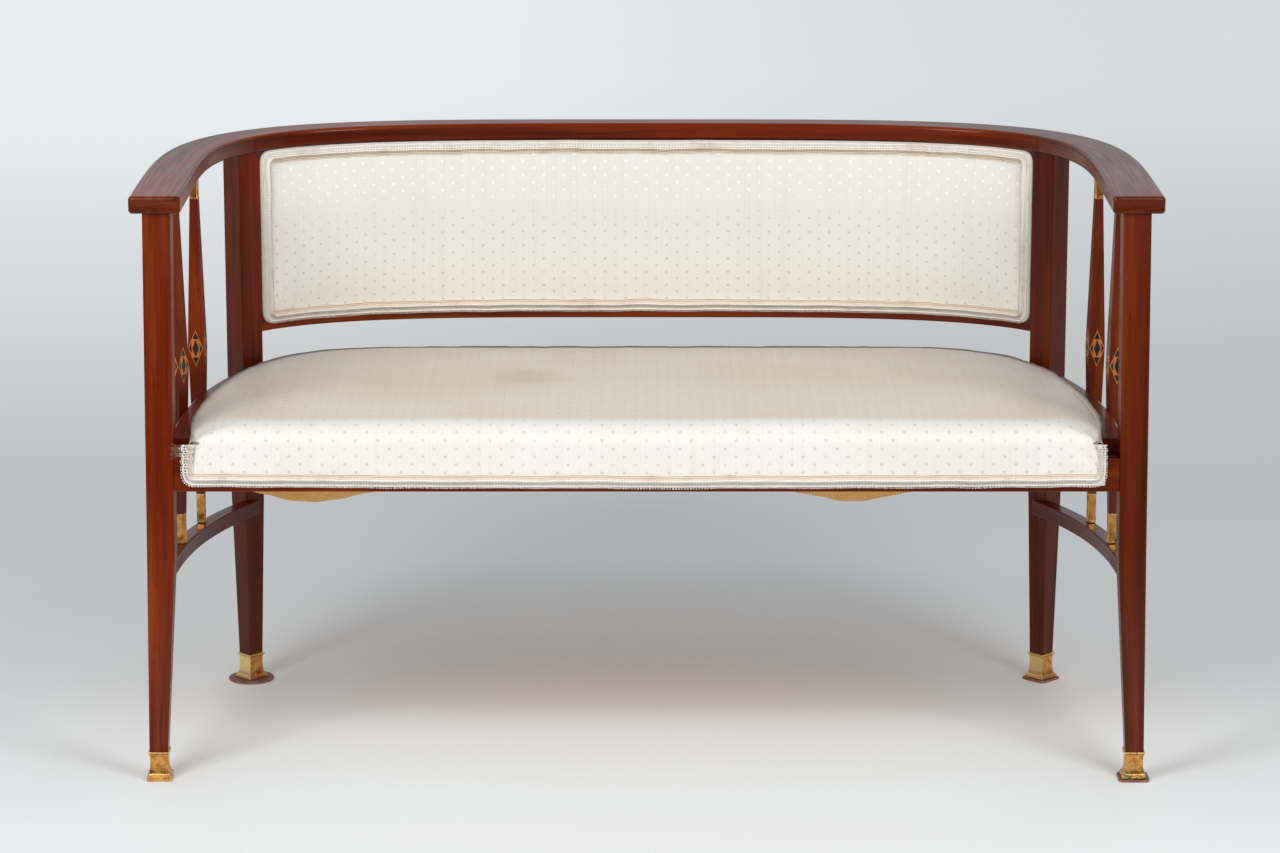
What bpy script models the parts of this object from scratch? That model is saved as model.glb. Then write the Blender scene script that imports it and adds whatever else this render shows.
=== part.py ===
"""A curved two seat settee.

One U shaped top rail, made of two arms and a crest, stands on four tapered legs
in brass shoes. An upholstered panel fills the back, a stuffed seat covers the
curved seat rails, and two inlaid posts stand on a bowed stretcher under each arm.
The front is -Y, up is +Z, and the origin is on the floor below the middle.
"""

import math

import bmesh
import bpy
from mathutils import Vector

MM = 0.001
GAP = 0.3 * MM

# Top rail: a U in plan, straight along the arms and curved round the back
RAIL_TOP = 721 * MM
RAIL_THICK = 21 * MM
RAIL_HALF_SPAN = 580 * MM
RAIL_STRAIGHT = 76 * MM
RAIL_CURVE_DEPTH = 488 * MM
RAIL_SIDE_POWER = 3.72
RAIL_BACK_POWER = 4.32
ARM_WIDTH = 62 * MM
CREST_WIDTH = 39 * MM
RAIL_ROUND = 4.5 * MM

# Legs
LEG_SIDE = 33.4 * MM
LEG_ROUND = 1.4 * MM
LEG_SET_BACK = 6.5 * MM
FRONT_LEG_INSET = 1.2 * MM
FRONT_LEG_LEAN = 4.2 * MM
FRONT_TAPER_HEIGHT = 280 * MM
FRONT_ANKLE_SIDE = 22.5 * MM
FRONT_ANKLE_OUT = 13 * MM
FRONT_ANKLE_FORWARD = 3.2 * MM
BACK_LEG_RUN = 467 * MM
BACK_LEG_INSET = 2.7 * MM
BACK_TAPER_HEIGHT = 320 * MM
BACK_ANKLE_SIDE = 22 * MM
FOOT_SIDE = 17.2 * MM

# Brass shoes and the pads under three of them
SHOE_HEIGHT = 33 * MM
SHOE_BASE_SIDE = 30.4 * MM
SHOE_BASE_RISE = 4 * MM
SHOE_COVE_RISE = 5 * MM
SHOE_WAIST_SIDE = 21.8 * MM
SHOE_RIM_SIDE = 26.2 * MM
SHOE_RIM_RISE = 2.2 * MM
SHOE_NECK_RISE = 1.4 * MM
SHOE_SOLE = 9 * MM
PAD_THICK = 3 * MM
SQUARE_PAD_SIDE = 38 * MM
ROUND_PAD_RADIUS = 29.7 * MM

# Seat frame
SEAT_UNDERSIDE = 362 * MM
FRONT_RAIL_HEIGHT = 40.5 * MM
FRONT_RAIL_THICK = 26 * MM
SIDE_RAIL_HEIGHT = 58 * MM
SIDE_RAIL_THICK = 28 * MM
SIDE_RAIL_LAP = 8.6 * MM
SIDE_RAIL_POWER = 2.8
BACK_RAIL_SET = 20 * MM
SEAT_RAIL_ROUND = 3 * MM
BLOCK_SIDE = 46 * MM
BLOCK_DROP = 6 * MM

# Bowed stretchers low under each arm
STRETCHER_TOP = 244 * MM
STRETCHER_THICK = 19 * MM
STRETCHER_WIDTH = 21 * MM
STRETCHER_POWER = 2.8
STRETCHER_ROUND = 2.5 * MM

# Posts between the stretcher and the arm
FIRST_POST_Y = 220 * MM
POST_SPACING = 105 * MM
POST_END_SIDE = 10.2 * MM
POST_MIDDLE_SIDE = 20.5 * MM
POST_ROUND = 0.7 * MM
POST_TURN = math.radians(8)
LEFT_FRONT_POST_TURN = math.radians(34)
FERRULE_LENGTH = 38 * MM
FERRULE_SIDE = 10.8 * MM
FERRULE_WALL = 0.9 * MM

# Back panel, all of it between the crest and a lower rail
PANEL_SET = 8 * MM
PANEL_RUN_IN = 18 * MM
BACK_OPENING = 44 * MM
LOWER_RAIL_HEIGHT = 26 * MM
LOWER_RAIL_THICK = 20 * MM
LOWER_RAIL_ROUND = 2.5 * MM
BOARD_THICK = 8 * MM
BACK_PAD_LAP = 16.5 * MM
BACK_PAD_EDGE = 5 * MM
BACK_PAD_CROWN = 19 * MM
BACK_PAD_BORDER = 20.4 * MM
REAR_COVER_THICK = 1.8 * MM
GIMP_WIDTH = 17.5 * MM
GIMP_THICK = 1.8 * MM

# Seat, from the webbing up
CUSHION_SIDE_INSET = 30 * MM
CUSHION_REAR_INSET = 25 * MM
CUSHION_SIDE_POWER = 8.5
CUSHION_BACK_POWER = 2.25
CUSHION_RISE = 36 * MM
CUSHION_REAR_DROP = 9.5 * MM
CUSHION_FRONT = 4.2 * MM
CUSHION_SKIRT_LIFT = 5 * MM
CUSHION_ROLL_DEPTH = 30 * MM
CUSHION_ROLL_RISE = 19 * MM
SEAT_GIMP_TOP_RISE = 13.5 * MM
BASE_INSET = 28 * MM
WEB_THICK = 1.5 * MM
WEB_WIDTH = 50 * MM
WEB_SIDE_INSET = 80 * MM
WEB_REAR_INSET = 137.5 * MM
WEB_SET_BACK = 4 * MM
LONG_WEB_COUNT = 5
CROSS_WEB_COUNT = 10

# Dust cloth that hangs slack under the seat
CLOTH_THICK = 1.2 * MM
CLOTH_LAP = 3 * MM
CLOTH_FRONT_INSET = 12 * MM
CLOTH_HEM = 10 * MM
CLOTH_LEFT_SAG = 33 * MM
CLOTH_RIGHT_SAG = 31 * MM
CLOTH_SMALL_SAG = 12 * MM
CLOTH_FOLD_WIDTH = 68 * MM
CLOTH_FOLD_DEPTH = 95 * MM
CLOTH_FOLD_BACK = 100 * MM

# Shares chosen by hand: how the cushion rises from its edge to its crown
CUSHION_INSETS = (3 * MM, 9 * MM, 20 * MM, 42 * MM)
CUSHION_EDGE_SHARE = 0.18
CUSHION_RISE_SHARES = (0.33, 0.46, 0.60, 0.73)
CUSHION_SPREAD_SHARES = (0.72, 0.48, 0.22)
CUSHION_CROWN_SHARES = (0.88, 0.96, 1.0)
CLOTH_SPREAD_SHARES = (0.86, 0.70, 0.52, 0.30)
CLOTH_SWAG_SHARES = ((-0.74, CLOTH_LEFT_SAG), (-0.20, CLOTH_SMALL_SAG),
                     (0.46, CLOTH_RIGHT_SAG), (0.80, CLOTH_SMALL_SAG))
PAD_ROW_SHARES = (0.0, 0.085, 0.22, 0.5, 0.78, 0.915, 1.0)
PAD_RISE_SHARES = (0.0, 0.45, 0.8, 1.0, 0.8, 0.45, 0.0)

# Steps of the curves
LINE_STEPS = 360
ARM_STEPS = 18
CREST_STEPS = 30
BOW_STEPS = 16
PANEL_STEPS = 26
OUTLINE_STEPS = 17
FRONT_STEPS = 16
ROUND_STEPS = 32

# Heights and places that follow from the sizes above
RAIL_UNDERSIDE = RAIL_TOP - RAIL_THICK
DEPTH = RAIL_STRAIGHT + RAIL_CURVE_DEPTH + CREST_WIDTH / 2
FRONT = -DEPTH / 2
LEG_FRONT = FRONT + LEG_SET_BACK
FRONT_RAIL_TOP = SEAT_UNDERSIDE + FRONT_RAIL_HEIGHT
SIDE_RAIL_TOP = SEAT_UNDERSIDE + SIDE_RAIL_HEIGHT
LOWER_RAIL_BOTTOM = SIDE_RAIL_TOP + BACK_OPENING
LOWER_RAIL_TOP = LOWER_RAIL_BOTTOM + LOWER_RAIL_HEIGHT
BACK_PAD_BOTTOM = LOWER_RAIL_TOP - BACK_PAD_LAP
CUSHION_HALF_WIDTH = RAIL_HALF_SPAN - CUSHION_SIDE_INSET
CUSHION_DEPTH = RAIL_STRAIGHT + RAIL_CURVE_DEPTH - LEG_SET_BACK - CUSHION_REAR_INSET
CUSHION_SKIRT_BOTTOM = SEAT_UNDERSIDE + CUSHION_SKIRT_LIFT
CUSHION_ROLL_TOP = SIDE_RAIL_TOP + CUSHION_ROLL_RISE
LEG_TOP = RAIL_UNDERSIDE - GAP
SHOE_LOW = PAD_THICK + GAP
SHOE_TOP = SHOE_LOW + SHOE_HEIGHT
ANKLE = SHOE_TOP + GAP
FOOT_BOTTOM = SHOE_LOW + SHOE_SOLE + GAP
POST_BOTTOM = STRETCHER_TOP + GAP
POST_TOP = RAIL_UNDERSIDE - GAP
WEB_BOTTOM = FRONT_RAIL_TOP + GAP
BASE_BOTTOM = WEB_BOTTOM + WEB_THICK + GAP
CUSHION_BOTTOM = SIDE_RAIL_TOP + GAP
PANEL_FACE = -PANEL_SET - LOWER_RAIL_THICK / 2
PAD_BACK = PANEL_FACE - GAP
PAD_FRONT = PAD_BACK - BACK_PAD_EDGE
REAR_FACE = -PANEL_SET + LOWER_RAIL_THICK / 2 + GAP

# Finishes: colour, roughness, metallic
MAHOGANY = ((0.19, 0.045, 0.014, 1.0), 0.28, 0.0)
BRASS = ((0.52, 0.33, 0.13, 1.0), 0.35, 1.0)
LEATHER = ((0.27, 0.12, 0.085, 1.0), 0.8, 0.0)
SILK = ((0.83, 0.79, 0.70, 1.0), 0.6, 0.0)
BRAID = ((0.80, 0.69, 0.54, 1.0), 0.85, 0.0)
OCHRE_CLOTH = ((0.55, 0.36, 0.10, 1.0), 0.9, 0.0)
JUTE = ((0.42, 0.32, 0.20, 1.0), 0.95, 0.0)
HAIR = ((0.30, 0.24, 0.18, 1.0), 0.95, 0.0)
BEECH = ((0.45, 0.31, 0.18, 1.0), 0.6, 0.0)


class PlanLine:
    """A line in plan that runs from the right front round the back to the left front."""

    def __init__(self, half_width, front, curve_start, curve_depth, side_power, back_power):
        points = [Vector((half_width, front))]
        for step in range(LINE_STEPS + 1):
            angle = math.pi / 2 * step / LINE_STEPS
            side = max(math.cos(angle), 0.0) ** (2 / side_power)
            back = math.sin(angle) ** (2 / back_power)
            points.append(Vector((half_width * side, curve_start + curve_depth * back)))
        self.points = [points[0]]
        self.runs = [0.0]
        for point in points[1:]:
            length = (point - self.points[-1]).length
            if length > 0:
                self.points.append(point)
                self.runs.append(self.runs[-1] + length)
        self.half = self.runs[-1]

    def at(self, run):
        """The point at a run along the line, and the outward normal there."""
        if run > self.half:
            point, normal = self.at(2 * self.half - run)
            return Vector((-point.x, point.y)), Vector((-normal.x, normal.y))
        last = len(self.runs) - 1
        index = min(max(next((i for i, r in enumerate(self.runs) if r >= run), last), 1), last)
        first, second = self.points[index - 1], self.points[index]
        share = (run - self.runs[index - 1]) / (self.runs[index] - self.runs[index - 1])
        along = (second - first).normalized()
        return first.lerp(second, share), Vector((along.y, -along.x))

    def x_at(self, y):
        """How far out the right half of the line is at a depth y."""
        for first, second in zip(self.points, self.points[1:]):
            if first.y <= y <= second.y and second.y > first.y:
                return first.lerp(second, (y - first.y) / (second.y - first.y)).x
        return self.points[0].x


def spread(low, high, steps):
    """Evenly spaced values from low to high, both included."""
    return [low + (high - low) * step / steps for step in range(steps + 1)]


RAIL_LINE = PlanLine(RAIL_HALF_SPAN, FRONT, FRONT + RAIL_STRAIGHT, RAIL_CURVE_DEPTH,
                     RAIL_SIDE_POWER, RAIL_BACK_POWER)
CUSHION_LINE = PlanLine(CUSHION_HALF_WIDTH, LEG_FRONT, LEG_FRONT + CUSHION_FRONT,
                        CUSHION_DEPTH - CUSHION_FRONT, CUSHION_SIDE_POWER, CUSHION_BACK_POWER)


def rail_half_width(run):
    """Half the width of the top rail, full on the arms and least at the middle."""
    share = min(run, 2 * RAIL_LINE.half - run) / RAIL_LINE.half
    return (CREST_WIDTH + (ARM_WIDTH - CREST_WIDTH) * (1 + math.cos(math.pi * share)) / 2) / 2


def back_leg_centre(side):
    """Plan centre of a back leg, under the joint of the arm and the crest."""
    point, normal = RAIL_LINE.at(BACK_LEG_RUN)
    centre = point - normal * BACK_LEG_INSET
    return Vector((side * centre.x, centre.y))


def front_leg_section(z):
    """Right front leg at a height: centre x, centre y and side."""
    top = Vector((RAIL_HALF_SPAN - FRONT_LEG_INSET, LEG_FRONT + LEG_SIDE / 2, LEG_SIDE))
    bend = top + Vector((FRONT_LEG_LEAN, 0, 0))
    ankle = Vector((top.x + FRONT_ANKLE_OUT, top.y - FRONT_ANKLE_FORWARD, FRONT_ANKLE_SIDE))
    if z >= FRONT_TAPER_HEIGHT:
        return bend.lerp(top, (z - FRONT_TAPER_HEIGHT) / (LEG_TOP - FRONT_TAPER_HEIGHT))
    return ankle.lerp(bend, (z - ANKLE) / (FRONT_TAPER_HEIGHT - ANKLE))


def bow(start, end, power):
    """A function of y for a piece that bows in from a front leg to a back leg."""
    def x_of(y):
        share = max((y - start.y) / (end.y - start.y), 0.0)
        return start.x + (end.x - start.x) * share ** power
    return x_of


def back_leg_corner():
    """The corner of the right back leg that points to the front."""
    centre = back_leg_centre(1)
    return Vector((centre.x, centre.y - LEG_SIDE / math.sqrt(2)))


def back_rail_start():
    """Run at which the back seat rail meets the face of a back leg."""
    return BACK_LEG_RUN + LEG_SIDE / 2


def seat_rail_bow():
    """Outer edge of the right seat rail."""
    section = front_leg_section((SEAT_UNDERSIDE + SIDE_RAIL_TOP) / 2)
    start = Vector((section.x - section.z / 2 + SIDE_RAIL_LAP, LEG_FRONT + LEG_SIDE))
    return bow(start, back_leg_corner(), SIDE_RAIL_POWER)


def stretcher_bow():
    """Middle line of the right stretcher."""
    section = front_leg_section(STRETCHER_TOP - STRETCHER_THICK / 2)
    start = Vector((section.x + section.z / 2 - STRETCHER_WIDTH / 2, section.y + section.z / 2))
    return bow(start, back_leg_corner(), STRETCHER_POWER), start.y


def finish_object(obj, finish):
    """Give an object a material of its own in one of the finishes."""
    colour, roughness, metallic = finish
    material = bpy.data.materials.new(obj.name + "_finish")
    material.use_nodes = True
    shader = material.node_tree.nodes["Principled BSDF"]
    shader.inputs["Base Color"].default_value = colour
    shader.inputs["Roughness"].default_value = roughness
    shader.inputs["Metallic"].default_value = metallic
    obj.data.materials.append(material)
    return obj


def object_from(mesh, name, finish):
    """Close a bmesh, turn its faces outward and make it an object."""
    bmesh.ops.recalc_face_normals(mesh, faces=mesh.faces)
    data = bpy.data.meshes.new(name)
    mesh.to_mesh(data)
    mesh.free()
    obj = bpy.data.objects.new(name, data)
    bpy.context.collection.objects.link(obj)
    return finish_object(obj, finish)


def loft(name, rings, finish, tube=False, soft=()):
    """Join rings of points into a closed solid, or into a tube with an open bore.

    soft lists the spans between rings whose long edges are to be rounded.
    """
    mesh = bmesh.new()
    weight = mesh.edges.layers.float.new("bevel_weight_edge")
    rows = [[mesh.verts.new(point) for point in ring] for ring in rings]
    pairs = list(zip(rows, rows[1:]))
    for span in soft:
        for low, high in zip(*pairs[span]):
            mesh.edges.new((low, high))[weight] = 1.0
    if tube:
        pairs.append((rows[-1], rows[0]))
    for low, high in pairs:
        for index, vert in enumerate(low):
            after = (index + 1) % len(low)
            mesh.faces.new((vert, low[after], high[after], high[index]))
    if not tube:
        mesh.faces.new(rows[0])
        mesh.faces.new(rows[-1])
    return object_from(mesh, name, finish)


def round_edges(obj, width, segments=1):
    """Round every edge that turns sharply."""
    bevel = obj.modifiers.new("Rounded edges", "BEVEL")
    bevel.width = width
    bevel.segments = segments
    bevel.limit_method = "ANGLE"
    bevel.angle_limit = math.radians(40)
    return obj


def round_long_edges(obj, width, segments=1):
    """Round only the long edges that a loft was told are soft."""
    round_edges(obj, width, segments).modifiers["Rounded edges"].limit_method = "WEIGHT"
    return obj


def cut_round(obj, cutter):
    """Cut a neighbour's shape out of an object."""
    cut = obj.modifiers.new("Fit to " + cutter.name, "BOOLEAN")
    cut.operation = "DIFFERENCE"
    cut.solver = "EXACT"
    cut.object = cutter
    return obj


def hide_as_cutter(obj):
    """Keep an object out of the finished model."""
    obj.hide_render = True
    obj.display_type = "WIRE"
    return obj


def square_ring(centre, side, z, turn=0.0):
    """Four corners of a square section, turned about its own middle."""
    reach = side / math.sqrt(2)
    corners = [turn + math.pi / 4 + math.pi / 2 * quarter for quarter in range(4)]
    return [(centre.x + reach * math.cos(a), centre.y + reach * math.sin(a), z) for a in corners]


def circle_ring(centre, radius, z):
    """Points round a circle at a height."""
    angles = [2 * math.pi * step / ROUND_STEPS for step in range(ROUND_STEPS)]
    return [(centre.x + radius * math.cos(a), centre.y + radius * math.sin(a), z) for a in angles]


def line_bar(name, line, runs, offsets, heights, finish):
    """A bar that follows a plan line. The two offsets are functions of the run."""
    inner, outer = offsets
    low, high = heights
    rings = []
    for run in runs:
        point, normal = line.at(run)
        near = point + normal * inner(run)
        far = point + normal * outer(run)
        rings.append([(near.x, near.y, low), (far.x, far.y, low),
                      (far.x, far.y, high), (near.x, near.y, high)])
    return loft(name, rings, finish)


def fixed(value):
    """An offset that is the same at every run."""
    return lambda run: value


def rail_piece(name, ends, steps):
    """One length of the top rail."""
    edges = (lambda run: -rail_half_width(run), rail_half_width)
    piece = line_bar(name, RAIL_LINE, spread(ends[0], ends[1], steps), edges,
                     (RAIL_UNDERSIDE, RAIL_TOP), MAHOGANY)
    return round_edges(piece, RAIL_ROUND, 2)


def make_top_rail():
    """Two arms and a crest, jointed over the back legs."""
    whole = 2 * RAIL_LINE.half
    half_gap = GAP / 2
    rail_piece("right_arm_rail", (0, BACK_LEG_RUN - half_gap), ARM_STEPS)
    rail_piece("crest_rail", (BACK_LEG_RUN + half_gap, whole - BACK_LEG_RUN - half_gap),
               CREST_STEPS)
    rail_piece("left_arm_rail", (whole - BACK_LEG_RUN + half_gap, whole), ARM_STEPS)


def front_leg_rings(side, grow, top, bottom):
    """Sections of a front leg, from the rail down into its shoe."""
    rings = []
    for z in (top, FRONT_TAPER_HEIGHT, ANKLE):
        section = front_leg_section(z)
        centre = Vector((side * section.x, section.y))
        rings.append(square_ring(centre, section.z + grow, z))
    ankle = front_leg_section(ANKLE)
    centre = Vector((side * ankle.x, ankle.y))
    rings.append(square_ring(centre, FOOT_SIDE + grow, ANKLE))
    rings.append(square_ring(centre, FOOT_SIDE + grow, bottom))
    return rings


def back_leg_rings(side, grow, top, bottom):
    """Sections of a back leg, which is turned to face the corner."""
    centre = back_leg_centre(side)
    levels = ((LEG_SIDE, top), (LEG_SIDE, BACK_TAPER_HEIGHT), (BACK_ANKLE_SIDE, ANKLE),
              (FOOT_SIDE, ANKLE), (FOOT_SIDE, bottom))
    return [square_ring(centre, width + grow, z, math.pi / 4) for width, z in levels]


def make_leg(name, rings, side):
    """A leg, and a slightly larger copy that its neighbours are cut with."""
    leg = loft(name, rings(side, 0, LEG_TOP, FOOT_BOTTOM), MAHOGANY, soft=(0, 1))
    round_long_edges(leg, LEG_ROUND, 2)
    grown = rings(side, 2 * GAP, LEG_TOP + GAP, FOOT_BOTTOM - GAP)
    return hide_as_cutter(loft(name + "_cutter", grown, MAHOGANY))


def make_shoe(name, centre, turn, low):
    """A square brass shoe with a plinth, a narrow body, a rim and a socket."""
    base_top = SHOE_LOW + SHOE_BASE_RISE
    neck = SHOE_TOP - SHOE_RIM_RISE
    levels = ((SHOE_BASE_SIDE, low), (SHOE_BASE_SIDE, base_top),
              (SHOE_WAIST_SIDE, base_top + SHOE_COVE_RISE),
              (SHOE_WAIST_SIDE, neck - SHOE_NECK_RISE), (SHOE_RIM_SIDE, neck),
              (SHOE_RIM_SIDE, SHOE_TOP), (FOOT_SIDE + 2 * GAP, SHOE_TOP),
              (FOOT_SIDE + 2 * GAP, SHOE_LOW + SHOE_SOLE))
    return loft(name, [square_ring(centre, side, z, turn) for side, z in levels], BRASS)


def make_square_pad(name, centre, turn):
    """A square leather pad under a shoe."""
    rings = [square_ring(centre, SQUARE_PAD_SIDE, z, turn) for z in (0, PAD_THICK)]
    return loft(name, rings, LEATHER)


def make_round_pad(name, centre):
    """A round leather pad under a shoe."""
    rings = [circle_ring(centre, ROUND_PAD_RADIUS, z) for z in (0, PAD_THICK)]
    pad = loft(name, rings, LEATHER)
    pad.data.shade_smooth()
    pad.data.set_sharp_from_angle(angle=math.radians(40))
    return pad


def make_legs():
    """Four legs in their shoes. Only the left front shoe reaches the floor itself."""
    cutters = {}
    for side, word in ((-1, "left"), (1, "right")):
        cutters["front", side] = make_leg("front_" + word + "_leg", front_leg_rings, side)
        cutters["back", side] = make_leg("back_" + word + "_leg", back_leg_rings, side)
        ankle = front_leg_section(ANKLE)
        front = Vector((side * ankle.x, ankle.y))
        back = back_leg_centre(side)
        make_shoe("front_" + word + "_shoe", front, 0, 0 if side < 0 else SHOE_LOW)
        make_shoe("back_" + word + "_shoe", back, math.pi / 4, SHOE_LOW)
        if side > 0:
            make_square_pad("front_right_pad", front, 0)
            make_square_pad("back_right_pad", back, math.pi / 4)
        else:
            make_round_pad("back_left_pad", back)
    return cutters


def bow_bar(name, side, x_of, reach, offsets, heights, finish):
    """A bar along a bow. Its two offsets from the bow are square to the depth axis."""
    inner, outer = offsets
    low, high = heights
    rings = []
    for y in spread(reach[0], reach[1], BOW_STEPS):
        near, far = side * (x_of(y) + inner), side * (x_of(y) + outer)
        rings.append([(near, y, low), (far, y, low), (far, y, high), (near, y, high)])
    return loft(name, rings, finish)


def make_seat_frame(cutters):
    """The four seat rails, jointed into the legs."""
    leg_inner = front_leg_section(FRONT_RAIL_TOP)
    reach = leg_inner.x - leg_inner.z / 2 - GAP
    levels = (SEAT_UNDERSIDE, FRONT_RAIL_TOP)
    ends = [[(x, LEG_FRONT, levels[0]), (x, LEG_FRONT + FRONT_RAIL_THICK, levels[0]),
             (x, LEG_FRONT + FRONT_RAIL_THICK, levels[1]), (x, LEG_FRONT, levels[1])]
            for x in (-reach, reach)]
    front = loft("front_seat_rail", ends, MAHOGANY)
    round_edges(front, LEG_ROUND)
    x_of = seat_rail_bow()
    start = back_rail_start()
    point, normal = RAIL_LINE.at(start)
    inner_corner = point - normal * (BACK_RAIL_SET + SIDE_RAIL_THICK / 2)
    run = (LEG_FRONT + LEG_SIDE + GAP, min(back_leg_centre(1).y, inner_corner.y) - GAP)
    for side, word in ((-1, "left"), (1, "right")):
        rail = bow_bar(word + "_seat_rail", side, x_of, run, (-SIDE_RAIL_THICK, 0),
                       (SEAT_UNDERSIDE, SIDE_RAIL_TOP), MAHOGANY)
        round_edges(rail, SEAT_RAIL_ROUND, 2)
        cut_round(rail, cutters["back", side])
        cut_round(front, cutters["front", side])
    whole = 2 * RAIL_LINE.half
    inner, outer = -BACK_RAIL_SET - SIDE_RAIL_THICK / 2, -BACK_RAIL_SET + SIDE_RAIL_THICK / 2
    back = line_bar("back_seat_rail", RAIL_LINE, spread(start, whole - start, CREST_STEPS),
                    (fixed(inner), fixed(outer)), (SEAT_UNDERSIDE, SIDE_RAIL_TOP), MAHOGANY)
    round_edges(back, SEAT_RAIL_ROUND, 2)
    for side in (-1, 1):
        cut_round(back, cutters["back", side])


def make_corner_blocks():
    """Glue blocks in the four inner corners of the seat frame."""
    x_of = seat_rail_bow()
    low, high = SEAT_UNDERSIDE + BLOCK_DROP, FRONT_RAIL_TOP - GAP
    rail_back = LEG_FRONT + FRONT_RAIL_THICK + GAP
    inset = SIDE_RAIL_THICK + 2 * GAP
    front_near = Vector((x_of(LEG_FRONT + LEG_SIDE) - inset, rail_back))
    front_far = Vector((x_of(rail_back + BLOCK_SIDE) - inset, rail_back + BLOCK_SIDE))
    front = (front_near, front_far, Vector((front_near.x - BLOCK_SIDE, rail_back)))
    rear_inset = BACK_RAIL_SET + SIDE_RAIL_THICK / 2 + 2 * GAP
    point, normal = RAIL_LINE.at(back_rail_start())
    apex = point - normal * rear_inset
    apex.x = min(apex.x, x_of(apex.y) - inset)
    near = Vector((x_of(apex.y - BLOCK_SIDE) - inset, apex.y - BLOCK_SIDE))
    point, normal = RAIL_LINE.at(back_rail_start() + BLOCK_SIDE)
    back = (apex, near, point - normal * rear_inset)
    for side, word in ((-1, "left"), (1, "right")):
        for place, corners in (("front_", front), ("back_", back)):
            rings = [[(side * c.x, c.y, z) for c in corners] for z in (low, high)]
            loft(place + word + "_corner_block", rings, BEECH)


def make_stretchers(cutters):
    """A bowed stretcher under each arm, from the front leg to the back leg."""
    x_of, start = stretcher_bow()
    end = back_leg_corner().y + STRETCHER_WIDTH / 2
    half = STRETCHER_WIDTH / 2
    for side, word in ((-1, "left"), (1, "right")):
        bar = bow_bar(word + "_stretcher", side, x_of, (start - half, end), (-half, half),
                      (STRETCHER_TOP - STRETCHER_THICK, STRETCHER_TOP), MAHOGANY)
        round_edges(bar, STRETCHER_ROUND, 2)
        cut_round(bar, cutters["front", side])
        cut_round(bar, cutters["back", side])


def make_post(name, centre, turn):
    """A post that swells to its middle, and the brass ferrules on its two ends."""
    core = FERRULE_SIDE - 2 * FERRULE_WALL - 2 * GAP
    low_end, high_end = POST_BOTTOM + FERRULE_LENGTH, POST_TOP - FERRULE_LENGTH
    levels = ((core, POST_BOTTOM), (core, low_end + GAP), (POST_END_SIDE, low_end + GAP),
              (POST_MIDDLE_SIDE, (POST_BOTTOM + POST_TOP) / 2), (POST_END_SIDE, high_end - GAP),
              (core, high_end - GAP), (core, POST_TOP))
    rings = [square_ring(centre, side, z, turn) for side, z in levels]
    round_long_edges(loft(name, rings, MAHOGANY, soft=(2, 3)), POST_ROUND)
    bore = core + 2 * GAP
    for word, low in (("bottom", POST_BOTTOM), ("top", high_end)):
        high = low + FERRULE_LENGTH
        rings = [square_ring(centre, side, z, turn) for side, z in
                 ((FERRULE_SIDE, low), (FERRULE_SIDE, high), (bore, high), (bore, low))]
        loft(name + "_" + word + "_ferrule", rings, BRASS, tube=True)


def make_posts():
    """Two posts a side, midway between the stretcher's line and the arm's line."""
    x_of, start = stretcher_bow()
    for place, y in (("front", FRONT + FIRST_POST_Y), ("rear", FRONT + FIRST_POST_Y + POST_SPACING)):
        x = (x_of(y) + RAIL_LINE.x_at(y)) / 2
        for side, word in ((-1, "left"), (1, "right")):
            turn = POST_TURN
            if place == "front" and side < 0:
                turn = LEFT_FRONT_POST_TURN
            make_post(word + "_" + place + "_post", Vector((side * x, y)), side * turn)


def panel_stations():
    """Runs along the rail line at which the pieces of the back panel are drawn.

    The first and the last are inside the back legs, the next ones are the ends of
    the pad, and the ones after those are the inner edges of the trim.
    """
    whole = 2 * RAIL_LINE.half
    pad = BACK_LEG_RUN + PANEL_RUN_IN
    border = pad + GIMP_WIDTH
    first = [BACK_LEG_RUN + PANEL_SET / 2, pad, border, border + GIMP_WIDTH / 2]
    inner = border + 3 * GIMP_WIDTH / 2
    last = [whole - run for run in reversed(first)]
    return first + spread(inner, whole - inner, PANEL_STEPS) + last


def make_back_frame(cutters):
    """The lower back rail and the board above it, jointed into the back legs."""
    runs = panel_stations()
    lower = line_bar("lower_back_rail", RAIL_LINE, runs,
                     (fixed(PANEL_FACE), fixed(PANEL_FACE + LOWER_RAIL_THICK)),
                     (LOWER_RAIL_BOTTOM, LOWER_RAIL_TOP), MAHOGANY)
    round_edges(lower, LOWER_RAIL_ROUND, 2)
    board = line_bar("back_board", RAIL_LINE, runs,
                     (fixed(PANEL_FACE), fixed(PANEL_FACE + BOARD_THICK)),
                     (LOWER_RAIL_TOP + GAP, RAIL_UNDERSIDE - GAP), BEECH)
    rear = line_bar("rear_cover", RAIL_LINE, runs,
                    (fixed(REAR_FACE), fixed(REAR_FACE + REAR_COVER_THICK)),
                    (BACK_PAD_BOTTOM, RAIL_UNDERSIDE - GAP), SILK)
    for piece in (lower, board, rear):
        for side in (-1, 1):
            cut_round(piece, cutters["back", side])


def pad_end_share(run, ends):
    """How full the back pad is near its two ends, from nothing to one."""
    reach = min(run - ends[0], ends[1] - run) - GIMP_WIDTH
    width = 3 * GIMP_WIDTH
    if reach <= 0:
        return 0.0
    share = min(reach / width, 1.0)
    return math.sin(share * math.pi / 2) ** 0.7


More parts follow.
